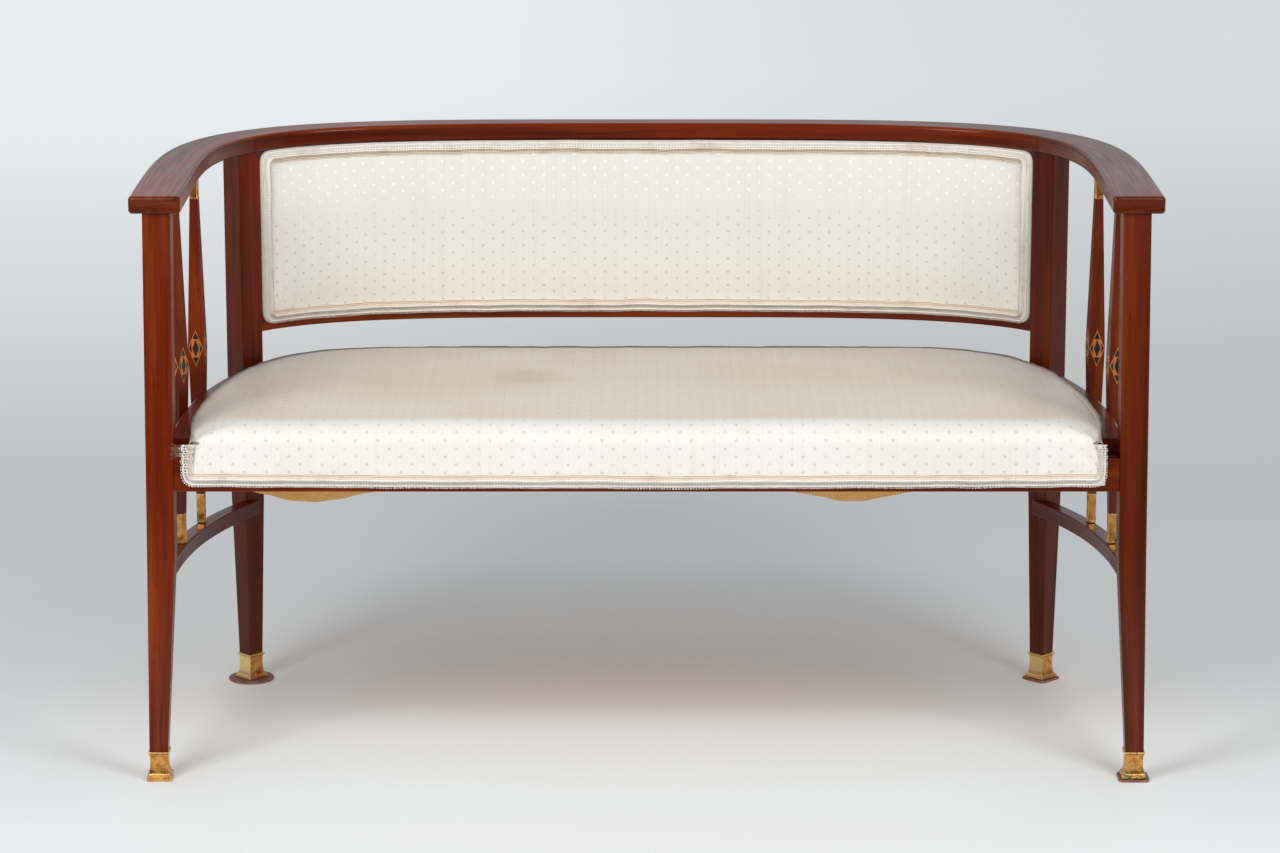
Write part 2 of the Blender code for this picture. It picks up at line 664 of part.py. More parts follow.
def make_back_pad(cutters):
    """The crowned pad on the front of the back panel, flat where its trim lies."""
    runs = panel_stations()[1:-1]
    ends = (runs[0], runs[-1])
    low, high = BACK_PAD_BOTTOM, RAIL_UNDERSIDE - GAP
    first, last = low + BACK_PAD_BORDER, high - BACK_PAD_BORDER
    crown = [(first + (last - first) * row, rise) for row, rise in zip(PAD_ROW_SHARES, PAD_RISE_SHARES)]
    profile = [(low, 0)] + crown + [(high, 0)]
    rings = []
    for run in runs:
        point, normal = RAIL_LINE.at(run)
        back = point + normal * PAD_BACK
        fullness = pad_end_share(run, ends) * BACK_PAD_CROWN
        ring = [(back.x, back.y, high), (back.x, back.y, low)]
        for z, rise in profile:
            face = point + normal * (PAD_FRONT - fullness * rise)
            ring.append((face.x, face.y, z))
        rings.append(ring)
    pad = loft("back_pad", rings, SILK)
    for side in (-1, 1):
        cut_round(pad, cutters["back", side])
    return pad


def make_frame_band(name, offset, low, high):
    """A flat trim band that runs round the four edges of the curved panel."""
    mesh = bmesh.new()
    columns = panel_stations()[1:-1]
    rows = (low, low + GIMP_WIDTH, high - GIMP_WIDTH, high)
    grid = []
    for run in columns:
        point, normal = RAIL_LINE.at(run)
        near = point + normal * offset
        grid.append([mesh.verts.new((near.x, near.y, z)) for z in rows])
    last = len(columns) - 2
    for column in range(last + 1):
        for row in range(3):
            if row == 1 and 0 < column < last:
                continue
            mesh.faces.new((grid[column][row], grid[column + 1][row],
                            grid[column + 1][row + 1], grid[column][row + 1]))
    band = object_from(mesh, name, BRAID)
    return thicken(band, GIMP_THICK)


def thicken(obj, thickness):
    """Give a sheet its thickness, half to each side."""
    solid = obj.modifiers.new("Thickness", "SOLIDIFY")
    solid.thickness = thickness
    solid.offset = 0
    return obj


def make_back_trim():
    """Braid round the front and the rear of the back panel."""
    top = RAIL_UNDERSIDE - GAP
    front_middle = PAD_FRONT - GAP - GIMP_THICK / 2
    make_frame_band("back_gimp", front_middle, BACK_PAD_BOTTOM, top)
    rear_middle = REAR_FACE + REAR_COVER_THICK + GAP + GIMP_THICK / 2
    make_frame_band("rear_gimp", rear_middle, BACK_PAD_BOTTOM, top)


def seat_stations():
    """Runs along the cushion's line at which the seat is drawn, from end to end."""
    return spread(0, 2 * CUSHION_LINE.half, 2 * OUTLINE_STEPS)


def seat_outline(inset, front):
    """The outline of the seat, drawn in by an inset, as points in plan."""
    right = []
    for run in seat_stations()[:OUTLINE_STEPS + 1]:
        point, normal = CUSHION_LINE.at(run)
        right.append(point - normal * inset)
    right[0].y = front
    left = [Vector((-point.x, point.y)) for point in reversed(right[:-1])]
    edge = spread(left[-1].x, right[0].x, FRONT_STEPS)[1:-1]
    return right + left + [Vector((x, front)) for x in edge]


def shrink(outline, share):
    """Draw an outline in towards the middle of the seat."""
    middle = Vector((0, LEG_FRONT + CUSHION_DEPTH / 2))
    return [middle.lerp(point, share) for point in outline]


def cushion_height(point, share):
    """Height of the cushion's top, which falls a little towards the rear."""
    depth = max((point.y - LEG_FRONT) / CUSHION_DEPTH, 0.0)
    return CUSHION_BOTTOM + CUSHION_RISE * share - CUSHION_REAR_DROP * depth ** 2 * share


def cushion_rings():
    """Outlines of the cushion from its flat base up over its crown."""
    side_gap = GIMP_THICK + GAP
    outline = seat_outline(side_gap, LEG_FRONT + side_gap)
    rings = [[(point.x, point.y, CUSHION_BOTTOM) for point in outline]]
    rings.append([(p.x, p.y, cushion_height(p, CUSHION_EDGE_SHARE)) for p in outline])
    for inset, share in zip(CUSHION_INSETS, CUSHION_RISE_SHARES):
        line = seat_outline(side_gap + inset, LEG_FRONT + side_gap + inset)
        rings.append([(p.x, p.y, cushion_height(p, share)) for p in line])
    for spread_share, share in zip(CUSHION_SPREAD_SHARES, CUSHION_CROWN_SHARES):
        line = shrink(outline, spread_share)
        rings.append([(p.x, p.y, cushion_height(p, share)) for p in line])
    return rings


def make_front_roll():
    """The stuffed front edge, and the skirt of cover that hangs over the front rail."""
    face = LEG_FRONT - CUSHION_FRONT
    inner = LEG_FRONT - GAP
    rear = LEG_FRONT + CUSHION_ROLL_DEPTH
    top = CUSHION_ROLL_TOP
    round_side = (CUSHION_FRONT + GIMP_THICK) * 2
    outline = ((inner, CUSHION_SKIRT_BOTTOM), (face, CUSHION_SKIRT_BOTTOM),
               (face, top - round_side), (face + round_side / 4, top - round_side / 3),
               (face + round_side, top), (rear, top), (rear, BASE_BOTTOM), (inner, BASE_BOTTOM))
    reach = CUSHION_HALF_WIDTH - GIMP_THICK - GAP
    rings = [[(x, y, z) for y, z in outline] for x in (-reach, reach)]
    return hide_as_cutter(loft("front_roll_cutter", rings, SILK))


def make_cushion():
    """The stuffed seat: a crowned body, joined to the roll along its front edge."""
    cushion = loft("seat_cushion", cushion_rings(), SILK)
    join = cushion.modifiers.new("Front roll", "BOOLEAN")
    join.operation = "UNION"
    join.solver = "EXACT"
    join.object = make_front_roll()


def make_seat_base():
    """The hair and hessian platform between the webbing and the cushion."""
    outline = seat_outline(BASE_INSET, LEG_FRONT + CUSHION_ROLL_DEPTH + GAP)
    rings = [[(p.x, p.y, z) for p in outline] for z in (BASE_BOTTOM, SIDE_RAIL_TOP)]
    loft("seat_stuffing", rings, HAIR)


def web_edges(low, high, count):
    """Edges of evenly spaced webs, the first and the last at the two ends."""
    pitch = (high - low - WEB_WIDTH) / (count - 1)
    starts = [low + pitch * index for index in range(count)]
    return [edge for start in starts for edge in (start, start + WEB_WIDTH)]


def back_rail_reach(x):
    """How far back a web can run at a place across the seat."""
    inset = BACK_RAIL_SET + SIDE_RAIL_THICK / 2 + 2 * GAP
    line = []
    for run in spread(back_rail_start(), RAIL_LINE.half, CREST_STEPS):
        point, normal = RAIL_LINE.at(run)
        line.append(point - normal * inset)
    for outer, inner in zip(line, line[1:]):
        if inner.x <= abs(x) <= outer.x:
            return outer.lerp(inner, (outer.x - abs(x)) / (outer.x - inner.x)).y
    return line[-1].y


def make_webbing():
    """Woven webs as one flat lattice, with their ends carried out to the seat rails."""
    half_span = CUSHION_HALF_WIDTH - WEB_SIDE_INSET
    columns = web_edges(-half_span, half_span, CROSS_WEB_COUNT)
    rear = LEG_FRONT + CUSHION_DEPTH - WEB_REAR_INSET
    rows = web_edges(LEG_FRONT + WEB_SET_BACK, rear, LONG_WEB_COUNT)
    mesh = bmesh.new()
    middle = WEB_BOTTOM + WEB_THICK / 2
    grid = [[mesh.verts.new((x, y, middle)) for y in rows] for x in columns]
    for column in range(len(columns) - 1):
        for row in range(len(rows) - 1):
            if column % 2 and row % 2:
                continue
            mesh.faces.new((grid[column][row], grid[column + 1][row],
                            grid[column + 1][row + 1], grid[column][row + 1]))
    x_of = seat_rail_bow()
    for side, edge in ((-1, grid[0]), (1, grid[-1])):
        for row in range(0, len(rows), 2):
            ends = [mesh.verts.new((side * (x_of(y) - SIDE_RAIL_THICK - 2 * GAP), y, middle))
                    for y in rows[row:row + 2]]
            mesh.faces.new((edge[row], ends[0], ends[1], edge[row + 1]))
    for column in range(0, len(columns), 2):
        ends = [mesh.verts.new((x, back_rail_reach(x), middle)) for x in columns[column:column + 2]]
        mesh.faces.new((grid[column][-1], ends[0], ends[1], grid[column + 1][-1]))
    thicken(object_from(mesh, "seat_webbing", JUTE), WEB_THICK)


def make_seat_trim():
    """Braid along the foot of the cushion, and round the front edge of the cover."""
    line_bar("seat_side_gimp", CUSHION_LINE, seat_stations(), (fixed(-GIMP_THICK), fixed(0)),
             (CUSHION_BOTTOM, CUSHION_BOTTOM + SEAT_GIMP_TOP_RISE), BRAID)
    reach = CUSHION_HALF_WIDTH - GIMP_THICK - GAP
    middle = LEG_FRONT - CUSHION_FRONT - GAP - GIMP_THICK / 2
    low = CUSHION_SKIRT_BOTTOM
    top = CUSHION_BOTTOM + SEAT_GIMP_TOP_RISE / 2
    columns = (-reach, -reach + GIMP_WIDTH, reach - GIMP_WIDTH, reach)
    rows = (low, low + GIMP_WIDTH, top)
    mesh = bmesh.new()
    grid = [[mesh.verts.new((x, middle, z)) for z in rows] for x in columns]
    for column in range(3):
        for row in range(2):
            if column == 1 and row == 1:
                continue
            mesh.faces.new((grid[column][row], grid[column + 1][row],
                            grid[column + 1][row + 1], grid[column][row + 1]))
    thicken(object_from(mesh, "seat_front_gimp", BRAID), GIMP_THICK)


def cloth_sag(point):
    """How far the dust cloth hangs down at a point."""
    sag = 0.0
    for place, depth in CLOTH_SWAG_SHARES:
        across = (point.x - place * CUSHION_HALF_WIDTH) / CLOTH_FOLD_WIDTH
        along = (point.y - LEG_FRONT - CLOTH_FOLD_BACK) / CLOTH_FOLD_DEPTH
        sag += depth * math.exp(-across * across - along * along)
    return sag


def make_dust_cloth():
    """A slack cloth tacked under the seat rails, which hangs in folds at the front."""
    top = SEAT_UNDERSIDE - GAP - CLOTH_THICK / 2
    edge = LEG_FRONT + CLOTH_FRONT_INSET
    flat = [seat_outline(-CLOTH_LAP, edge), seat_outline(CLOTH_HEM - CLOTH_LAP, edge + CLOTH_HEM)]
    rows = [[(p.x, p.y, top) for p in line] for line in flat]
    hang = [seat_outline(3 * CLOTH_HEM - CLOTH_LAP, edge + 3 * CLOTH_HEM)]
    hang += [shrink(flat[0], share) for share in CLOTH_SPREAD_SHARES]
    rows += [[(p.x, p.y, top - cloth_sag(p)) for p in line] for line in hang]
    mesh = bmesh.new()
    verts = [[mesh.verts.new(point) for point in row] for row in rows]
    for outer, inner in zip(verts, verts[1:]):
        for index, vert in enumerate(outer):
            after = (index + 1) % len(outer)
            mesh.faces.new((vert, outer[after], inner[after], inner[index]))
    mesh.faces.new(verts[-1])
    thicken(object_from(mesh, "dust_cloth", OCHRE_CLOTH), CLOTH_THICK)


def clear_scene():
    """Start from an empty scene."""
    for obj in list(bpy.data.objects):
        bpy.data.objects.remove(obj, do_unlink=True)


def main():
    """Build the settee from the floor up."""
    clear_scene()
    cutters = make_legs()
    make_stretchers(cutters)
    make_posts()
    make_top_rail()
    make_seat_frame(cutters)
    make_corner_blocks()
    make_back_frame(cutters)
    make_back_pad(cutters)
    make_back_trim()
    make_webbing()
    make_seat_base()
    make_cushion()
    make_seat_trim()
    make_dust_cloth()


main()
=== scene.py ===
"""The finished looks of a curved settee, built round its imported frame.

The front is -Y, up is +Z, and every size is in metres.
"""

import math
import random

import bmesh
import bpy
import numpy as np
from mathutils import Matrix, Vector, noise


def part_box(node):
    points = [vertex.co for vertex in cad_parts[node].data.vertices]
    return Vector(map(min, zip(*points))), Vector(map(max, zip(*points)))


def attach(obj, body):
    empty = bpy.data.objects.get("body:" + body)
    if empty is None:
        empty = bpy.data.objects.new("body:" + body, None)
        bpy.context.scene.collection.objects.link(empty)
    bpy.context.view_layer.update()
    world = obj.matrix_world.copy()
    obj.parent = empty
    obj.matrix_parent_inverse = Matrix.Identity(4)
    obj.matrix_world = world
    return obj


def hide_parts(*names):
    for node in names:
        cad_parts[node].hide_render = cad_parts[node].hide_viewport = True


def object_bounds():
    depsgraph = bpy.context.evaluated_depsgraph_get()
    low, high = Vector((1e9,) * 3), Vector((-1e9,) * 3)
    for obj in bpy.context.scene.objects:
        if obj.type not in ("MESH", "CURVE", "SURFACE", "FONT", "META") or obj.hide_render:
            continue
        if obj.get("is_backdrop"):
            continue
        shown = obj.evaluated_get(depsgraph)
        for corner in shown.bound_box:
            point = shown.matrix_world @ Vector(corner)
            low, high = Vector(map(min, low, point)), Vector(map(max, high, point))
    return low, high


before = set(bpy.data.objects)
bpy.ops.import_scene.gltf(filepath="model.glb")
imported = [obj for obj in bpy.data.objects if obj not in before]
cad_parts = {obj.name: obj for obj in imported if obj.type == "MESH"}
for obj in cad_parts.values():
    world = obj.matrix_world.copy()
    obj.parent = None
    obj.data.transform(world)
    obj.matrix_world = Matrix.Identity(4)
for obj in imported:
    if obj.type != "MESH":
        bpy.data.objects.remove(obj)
CAD_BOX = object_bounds()

bl_info = {
    "name": "Curved settee",
    "version": (1, 0, 0),
    "blender": (4, 5, 0),
    "location": "View3D > Sidebar > Settee",
    "description": "Builds the looks of a curved settee round its packed frame",
    "category": "Object",
}

MM = 0.001
SIDES = ((-1, "left"), (1, "right"))


def height_span(name):
    """Lowest and highest level of a node of the frame."""
    low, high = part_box(name)
    return low[2], high[2]


# Heights and places read from the frame
RAIL_UNDERSIDE, RAIL_TOP = height_span("crest_rail")
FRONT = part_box("right_arm_rail")[0][1]
LEG_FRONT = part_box("front_right_leg")[0][1]
SEAT_UNDERSIDE, FRONT_RAIL_TOP = height_span("front_seat_rail")
SIDE_RAIL_TOP = height_span("right_seat_rail")[1]
LOWER_RAIL_BOTTOM, LOWER_RAIL_TOP = height_span("lower_back_rail")
BACK_PAD_BOTTOM, BACK_PAD_TOP = height_span("back_pad")
STRETCHER_BOTTOM, STRETCHER_TOP = height_span("right_stretcher")
SHOE_LOW, SHOE_TOP = height_span("front_right_shoe")
POST_BOTTOM, POST_TOP = height_span("right_front_post")
POST_MIDDLE = (POST_BOTTOM + POST_TOP) / 2
SKIRT_BOTTOM = height_span("seat_front_gimp")[0]

# Plan sizes of the frame, as its source gives them
GAP = 0.3 * MM
RAIL_HALF_SPAN = 580 * MM
RAIL_STRAIGHT = 76 * MM
RAIL_CURVE_DEPTH = 488 * MM
RAIL_POWERS = (3.72, 4.32)
ARM_WIDTH = 62 * MM
CREST_WIDTH = 39 * MM
LEG_SIDE = 33.4 * MM
FRONT_LEG_INSET = 1.2 * MM
FRONT_LEG_LEAN = 4.2 * MM
FRONT_TAPER_HEIGHT = 280 * MM
FRONT_ANKLE_SIDE = 22.5 * MM
FRONT_ANKLE_OUT = 13 * MM
FRONT_ANKLE_FORWARD = 3.2 * MM
BACK_LEG_RUN = 467 * MM
BACK_LEG_INSET = 2.7 * MM
BACK_TAPER_HEIGHT = 320 * MM
BACK_ANKLE_SIDE = 22 * MM
FOOT_SIDE = 17.2 * MM
ANKLE = SHOE_TOP + GAP
SIDE_RAIL_THICK = 28 * MM
SIDE_RAIL_LAP = 8.6 * MM
BOW_POWER = 2.8
BACK_RAIL_SET = 20 * MM
STRETCHER_WIDTH = 21 * MM
POST_PLACES = (("front", FRONT + 220 * MM), ("rear", FRONT + 325 * MM))
POST_END_SIDE = 10.2 * MM
POST_MIDDLE_SIDE = 20.5 * MM
POST_TURN = math.radians(8)
LEFT_FRONT_POST_TURN = math.radians(34)
FERRULE_LENGTH = 38 * MM
FERRULE_SIDE = 10.8 * MM
PANEL_SET = 8 * MM
LOWER_RAIL_THICK = 20 * MM
PANEL_RUN_IN = 18 * MM
PANEL_FACE = -PANEL_SET - LOWER_RAIL_THICK / 2
PAD_BACK = PANEL_FACE - GAP
PAD_FRONT = PAD_BACK - 5 * MM
REAR_FACE = -PANEL_SET + LOWER_RAIL_THICK / 2 + GAP
GIMP_WIDTH = 17.5 * MM
GIMP_THICK = 1.8 * MM
CUSHION_SIDE_INSET = 30 * MM
CUSHION_REAR_INSET = 25 * MM
CUSHION_FRONT = 4.2 * MM
CUSHION_POWERS = (8.5, 2.25)
CUSHION_HALF_WIDTH = RAIL_HALF_SPAN - CUSHION_SIDE_INSET
CUSHION_DEPTH = RAIL_STRAIGHT + RAIL_CURVE_DEPTH - (LEG_FRONT - FRONT) - CUSHION_REAR_INSET
CUSHION_BOTTOM = SIDE_RAIL_TOP + GAP


class PlanLine:
    """A line in plan that runs from the right front round the back to the left front."""

    def __init__(self, half_width, front, curve_start, curve_depth, powers):
        angle = np.linspace(0, math.pi / 2, 1441)
        side = np.clip(np.cos(angle), 0, 1) ** (2 / powers[0])
        back = np.sin(angle) ** (2 / powers[1])
        x = np.concatenate([[half_width], half_width * side])
        y = np.concatenate([[front], curve_start + curve_depth * back])
        steps = np.hypot(np.diff(x), np.diff(y))
        keep = np.concatenate([[True], steps > 1e-9])
        x, y = x[keep], y[keep]
        right = np.concatenate([[0.0], np.cumsum(np.hypot(np.diff(x), np.diff(y)))])
        self.half = right[-1]
        self.runs = np.concatenate([right, 2 * self.half - right[-2::-1]])
        self.x = np.concatenate([x, -x[-2::-1]])
        self.y = np.concatenate([y, y[-2::-1]])
        along = np.stack([np.gradient(self.x, self.runs), np.gradient(self.y, self.runs)])
        along /= np.hypot(along[0], along[1])
        self.normals = np.stack([along[1], -along[0]])

    def at(self, run, offset=0.0):
        """Points at runs along the line, moved outward by an offset."""
        run, offset = np.broadcast_arrays(np.asarray(run, float), np.asarray(offset, float))
        normal = self.normal(run)
        x = np.interp(run, self.runs, self.x) + normal[0] * offset
        y = np.interp(run, self.runs, self.y) + normal[1] * offset
        return np.stack([x, y])

    def normal(self, run):
        """Outward normals at runs along the line."""
        normal = np.stack([np.interp(run, self.runs, part) for part in self.normals])
        return normal / np.hypot(normal[0], normal[1])

    def x_at(self, y):
        """How far out the right half of the line is at a depth y."""
        last = len(self.runs) // 2 + 1
        return float(np.interp(y, self.y[:last], self.x[:last]))


RAIL_LINE = PlanLine(RAIL_HALF_SPAN, FRONT, FRONT + RAIL_STRAIGHT, RAIL_CURVE_DEPTH, RAIL_POWERS)
CUSHION_LINE = PlanLine(CUSHION_HALF_WIDTH, LEG_FRONT, LEG_FRONT + CUSHION_FRONT,
                        CUSHION_DEPTH - CUSHION_FRONT, CUSHION_POWERS)


def front_leg_section(z):
    """Right front leg at a height: centre x, centre y and side."""
    top = Vector((RAIL_HALF_SPAN - FRONT_LEG_INSET, LEG_FRONT + LEG_SIDE / 2, LEG_SIDE))
    bend = top + Vector((FRONT_LEG_LEAN, 0, 0))
    ankle = Vector((top.x + FRONT_ANKLE_OUT, top.y - FRONT_ANKLE_FORWARD, FRONT_ANKLE_SIDE))
    if z >= FRONT_TAPER_HEIGHT:
        return bend.lerp(top, (z - FRONT_TAPER_HEIGHT) / (RAIL_UNDERSIDE - GAP - FRONT_TAPER_HEIGHT))
    return ankle.lerp(bend, (z - ANKLE) / (FRONT_TAPER_HEIGHT - ANKLE))


def back_leg_centre(side):
    """Plan centre of a back leg."""
    point = RAIL_LINE.at(BACK_LEG_RUN, -BACK_LEG_INSET)
    return Vector((side * float(point[0]), float(point[1])))


def back_leg_corner():
    """The corner of the right back leg that points to the front."""
    centre = back_leg_centre(1)
    return Vector((centre.x, centre.y - LEG_SIDE / math.sqrt(2)))


def bow(start, end):
    """A function of y for a piece that bows in from a front leg to a back leg."""
    def x_of(y):
        share = max((y - start.y) / (end.y - start.y), 0.0)
        return start.x + (end.x - start.x) * share ** BOW_POWER
    return x_of


def seat_rail_bow():
    """Outer edge of the right seat rail."""
    section = front_leg_section((SEAT_UNDERSIDE + SIDE_RAIL_TOP) / 2)
    start = Vector((section.x - section.z / 2 + SIDE_RAIL_LAP, LEG_FRONT + LEG_SIDE))
    return bow(start, back_leg_corner())


def stretcher_bow():
    """Middle line of the right stretcher, and where it starts."""
    section = front_leg_section((STRETCHER_BOTTOM + STRETCHER_TOP) / 2)
    start = Vector((section.x + section.z / 2 - STRETCHER_WIDTH / 2, section.y + section.z / 2))
    return bow(start, back_leg_corner()), start.y


def rail_half_width(run):
    """Half the width of the top rail at runs along it."""
    share = np.minimum(run, 2 * RAIL_LINE.half - run) / RAIL_LINE.half
    return (CREST_WIDTH + (ARM_WIDTH - CREST_WIDTH) * (1 + np.cos(np.pi * share)) / 2) / 2


# Node trees and finishes

class Nodes:
    """A node tree that is put together node by node."""

    prefix = ""

    def __init__(self, tree):
        self.tree = tree

    def node(self, kind, inputs=(), output=0, **settings):
        """Add a node, set it up, and give one of its outputs."""
        node = self.tree.nodes.new(self.prefix + kind)
        for name, value in settings.items():
            setattr(node, name, value)
        for socket, value in dict(inputs).items():
            self.feed(node.inputs[socket], value)
        return node.outputs[output]

    def feed(self, socket, value):
        """Link a node's output to a socket, or set the socket's own value."""
        if isinstance(value, bpy.types.NodeSocket):
            self.tree.links.new(value, socket)
        else:
            socket.default_value = value


class ShaderNodes(Nodes):
    """The nodes of a material or of the world."""

    prefix = "ShaderNode"


class Finish(ShaderNodes):
    """A material that is put together node by node, with its colour built up in layers."""

    def __init__(self, name, **values):
        self.material = bpy.data.materials.new(name)
        self.material.use_nodes = True
        super().__init__(self.material.node_tree)
        self.shader = self.tree.nodes["Principled BSDF"]
        self.tone = (1, 1, 1, 1)
        for socket, value in values.items():
            self.shader.inputs[socket.replace("_", " ")].default_value = value

    def place(self, scale=(1, 1, 1), source="Object", move=(0, 0, 0)):
        """Coordinates on the piece or along its own map, stretched by a scale."""
        where = self.node("TexCoord", output={"Object": 3, "UV": 2}[source])
        return self.node("Mapping", {0: where, "Scale": scale, "Location": move})

    def noise(self, vector, scale=1.0, detail=3.0, rough=0.5, bend=0.0):
        """Smooth random values from 0 to 1."""
        return self.node("TexNoise", {"Vector": vector, "Scale": scale, "Detail": detail,
                                      "Roughness": rough, "Distortion": bend})

    def grain(self, scale, detail=2.0, rough=0.5, bend=0.0, source="UV", move=(0, 0, 0)):
        """Smooth random values, stretched along the piece's own map."""
        return self.noise(self.place(scale, source, move), 1.0, detail, rough, bend)

    def cloud(self, scale, detail=2.0, rough=0.5, bend=0.0):
        """Smooth random values, stretched along the axes of the piece."""
        return self.grain(scale, detail, rough, bend, "Object")

    def weave(self, warp, weft, source):
        """Two sets of threads that cross."""
        both = self.sum("ADD", self.grain(warp, source=source), self.grain(weft, source=source))
        return self.times(both, 0.5)

    def ramp(self, value, low, high, to_low=0.0, to_high=1.0):
        """Turn a span of values into another, smoothly and clamped."""
        return self.node("MapRange", {"Value": value, "From Min": low, "From Max": high,
                                      "To Min": to_low, "To Max": to_high},
                         interpolation_type="SMOOTHSTEP")

    def sum(self, operation, first, *others):
        """Arithmetic on values, one after the other."""
        for other in others or (0.0,):
            first = self.node("Math", {0: first, 1: other}, operation=operation)
        return first

    def times(self, *values):
        """Values multiplied with each other."""
        return self.sum("MULTIPLY", *values)

    def most(self, *values):
        """The largest of some values."""
        return self.sum("MAXIMUM", *values)

    def away(self, value, place):
        """How far a value is from a place."""
        return self.sum("ABSOLUTE", self.sum("SUBTRACT", value, place))

    def vector(self, operation, first, second=(0, 0, 0), output=0):
        """Arithmetic on vectors."""
        return self.node("VectorMath", {0: first, 1: second}, output, operation=operation)

    def split(self, vector):
        """The three parts of a vector."""
        self.node("SeparateXYZ", {0: vector})
        return tuple(self.tree.nodes[-1].outputs)

    def mix(self, share, first, second):
        """Mix two colours."""
        return self.node("Mix", {0: share, 6: first, 7: second}, 2, data_type="RGBA")

    def lay(self, share, tint):
        """Lay a colour over the tone so far."""
        self.tone = self.mix(share, self.tone, tint)

    def layer(self, value, low, high, most, tint):
        """Lay a colour over the tone, from nothing at one value to the most at another."""
        self.lay(self.ramp(value, low, high, 0, most), tint)

    def start(self, value, first, second, low=0.35, high=0.65):
        """Begin the tone with two colours."""
        self.tone = first
        self.layer(value, low, high, 1, second)

    def bump(self, height, distance, strength=1.0, normal=None):
        """Raise the surface by a height."""
        inputs = {"Height": height, "Distance": distance, "Strength": strength}
        if normal is not None:
            inputs["Normal"] = normal
        return self.node("Bump", inputs)

    def done(self, normal, rough=None):
        """Feed the shader, and give the material."""
        for socket, value in (("Base Color", self.tone), ("Normal", normal), ("Roughness", rough)):
            if value is not None:
                self.feed(self.shader.inputs[socket], value)
        return self.material


def colour(red, green, blue):
    """A colour given as eight bit screen values, as the shaders take it."""
    def linear(value):
        value /= 255
        return value / 12.92 if value <= 0.04045 else ((value + 0.055) / 1.055) ** 2.4
    return (linear(red), linear(green), linear(blue), 1.0)


def opaque(shade):
    """A colour setting as the shaders take it."""
    return tuple(shade) + (1,)


def mahogany_finish(settings):
    """French polished mahogany with its grain along the piece's own map."""
    finish = Finish("Polished mahogany", Coat_Weight=0.2, Coat_Roughness=0.1, Coat_IOR=1.5,
                    Specular_Tint=(1.0, 0.72, 0.5, 1.0), Specular_IOR_Level=0.17)
    bands = finish.grain((1.7, 58, 1), 3.0, 0.55, 0.6)
    fine = finish.grain((9, 420, 1), 4.0, 0.6)
    pore = finish.ramp(finish.grain((55, 1500, 1)), 0.60, 0.68)
    ribbon = finish.grain((2.6, 46, 1), move=(3.1, 0.4, 0))
    dark = opaque(settings.wood_dark)
    finish.start(bands, dark, opaque(settings.wood_middle), 0.24, 0.62)
    finish.layer(ribbon, 0.45, 0.74, 0.6, opaque(settings.wood_light))
    finish.layer(fine, 0.42, 0.7, 0.42, dark)
    finish.layer(finish.cloud((4, 4, 2.2)), 0.42, 0.72, 0.2, dark)
    # Painted shade: the wood is darkened towards the right side and on the low parts behind the front
    # legs. Within 4 mm of the front, the end faces of the arms get the same dark as darker end grain.
    across, depth, height = finish.split(finish.place())
    inner = finish.times(finish.ramp(depth, LEG_FRONT + 0.03, LEG_FRONT + 0.07, 0, 0.38),
                         finish.ramp(height, 0.47, 0.43))
    shade = finish.most(finish.ramp(across, 0.15, 0.56, 0, 0.34), inner,
                        finish.ramp(depth, FRONT + 4 * MM, FRONT + 0.6 * MM, 0, 0.5))
    finish.lay(shade, (0.03, 0.009, 0.004, 1))
    finish.lay(finish.times(pore, 0.55), (0.012, 0.004, 0.002, 1))
    lift = finish.bump(finish.sum("SUBTRACT", 1.0, pore), 0.03 * MM, 0.5)
    return finish.done(finish.bump(bands, 0.25 * MM, 0.25, lift),
                       finish.ramp(fine, 0.3, 0.75, 0.26, 0.42))


def brass_finish(name, verdigris):
    """Aged brass, dark in its hollows, with a little green where it is damp."""
    finish = Finish(name, Metallic=0.94)
    place = finish.place()
    blotch = finish.noise(place, 95, 4.0, 0.62, 0.3)
    speck = finish.noise(place, 420, 3.0, 0.6)
    hollow = finish.node("NewGeometry", output=7)
    finish.start(blotch, colour(190, 124, 58), colour(238, 180, 100), 0.36, 0.62)
    finish.layer(finish.noise(place, 30, 2.0), 0.45, 0.7, 0.5, colour(190, 122, 70))
    finish.layer(hollow, 0.485, 0.42, 0.9, colour(44, 28, 16))
    # Painted highlight: convex edges are painted lighter.
    finish.layer(hollow, 0.515, 0.58, 0.75, colour(255, 226, 160))
    finish.layer(speck, 0.64, 0.74, 0.55, colour(84, 54, 30))
    if verdigris:
        damp = finish.ramp(finish.noise(place, 120, 3.0, 0.6), 0.50, 0.58)
        low = finish.ramp(finish.split(place)[2], 20 * MM, 7 * MM)
        finish.lay(finish.times(damp, low, 0.85), colour(96, 132, 92))
    dents = finish.bump(finish.noise(place, 160, 2.0), 0.22 * MM, 0.5)
    return finish.done(finish.bump(speck, 0.05 * MM, 0.4, dents),
                       finish.ramp(blotch, 0.3, 0.7, 0.24, 0.42))


def leather_finish():
    """Worn red brown leather with a rubbed edge."""
    finish = Finish("Worn leather pad")
    place = finish.place()
    grain = finish.node("TexVoronoi", {"Vector": place, "Scale": 900}, feature="DISTANCE_TO_EDGE")
    wear = finish.noise(place, 130, 4.0, 0.65)
    finish.start(wear, colour(104, 62, 50), colour(158, 108, 90))
    finish.lay(finish.ramp(grain, 0.0, 0.12, 0.5, 0), colour(62, 36, 30))
    finish.layer(finish.node("NewGeometry", output=7), 0.52, 0.6, 0.5, colour(188, 146, 126))
    return finish.done(finish.bump(grain, 0.12 * MM, 0.7), finish.ramp(wear, 0.3, 0.7, 0.6, 0.85))


def beech_finish():
    """Plain unpolished beech, used where nobody looks."""
    finish = Finish("Plain beech")
    grain = finish.cloud((20, 160, 160), 3.0, 0.6, 0.4)
    finish.start(grain, colour(170, 128, 86), colour(198, 158, 112))
    finish.layer(finish.cloud((400, 90, 700), 1.0), 0.60, 0.66, 0.5, colour(138, 96, 60))
    return finish.done(finish.bump(grain, 0.1 * MM, 0.5), finish.ramp(grain, 0.3, 0.7, 0.55, 0.75))


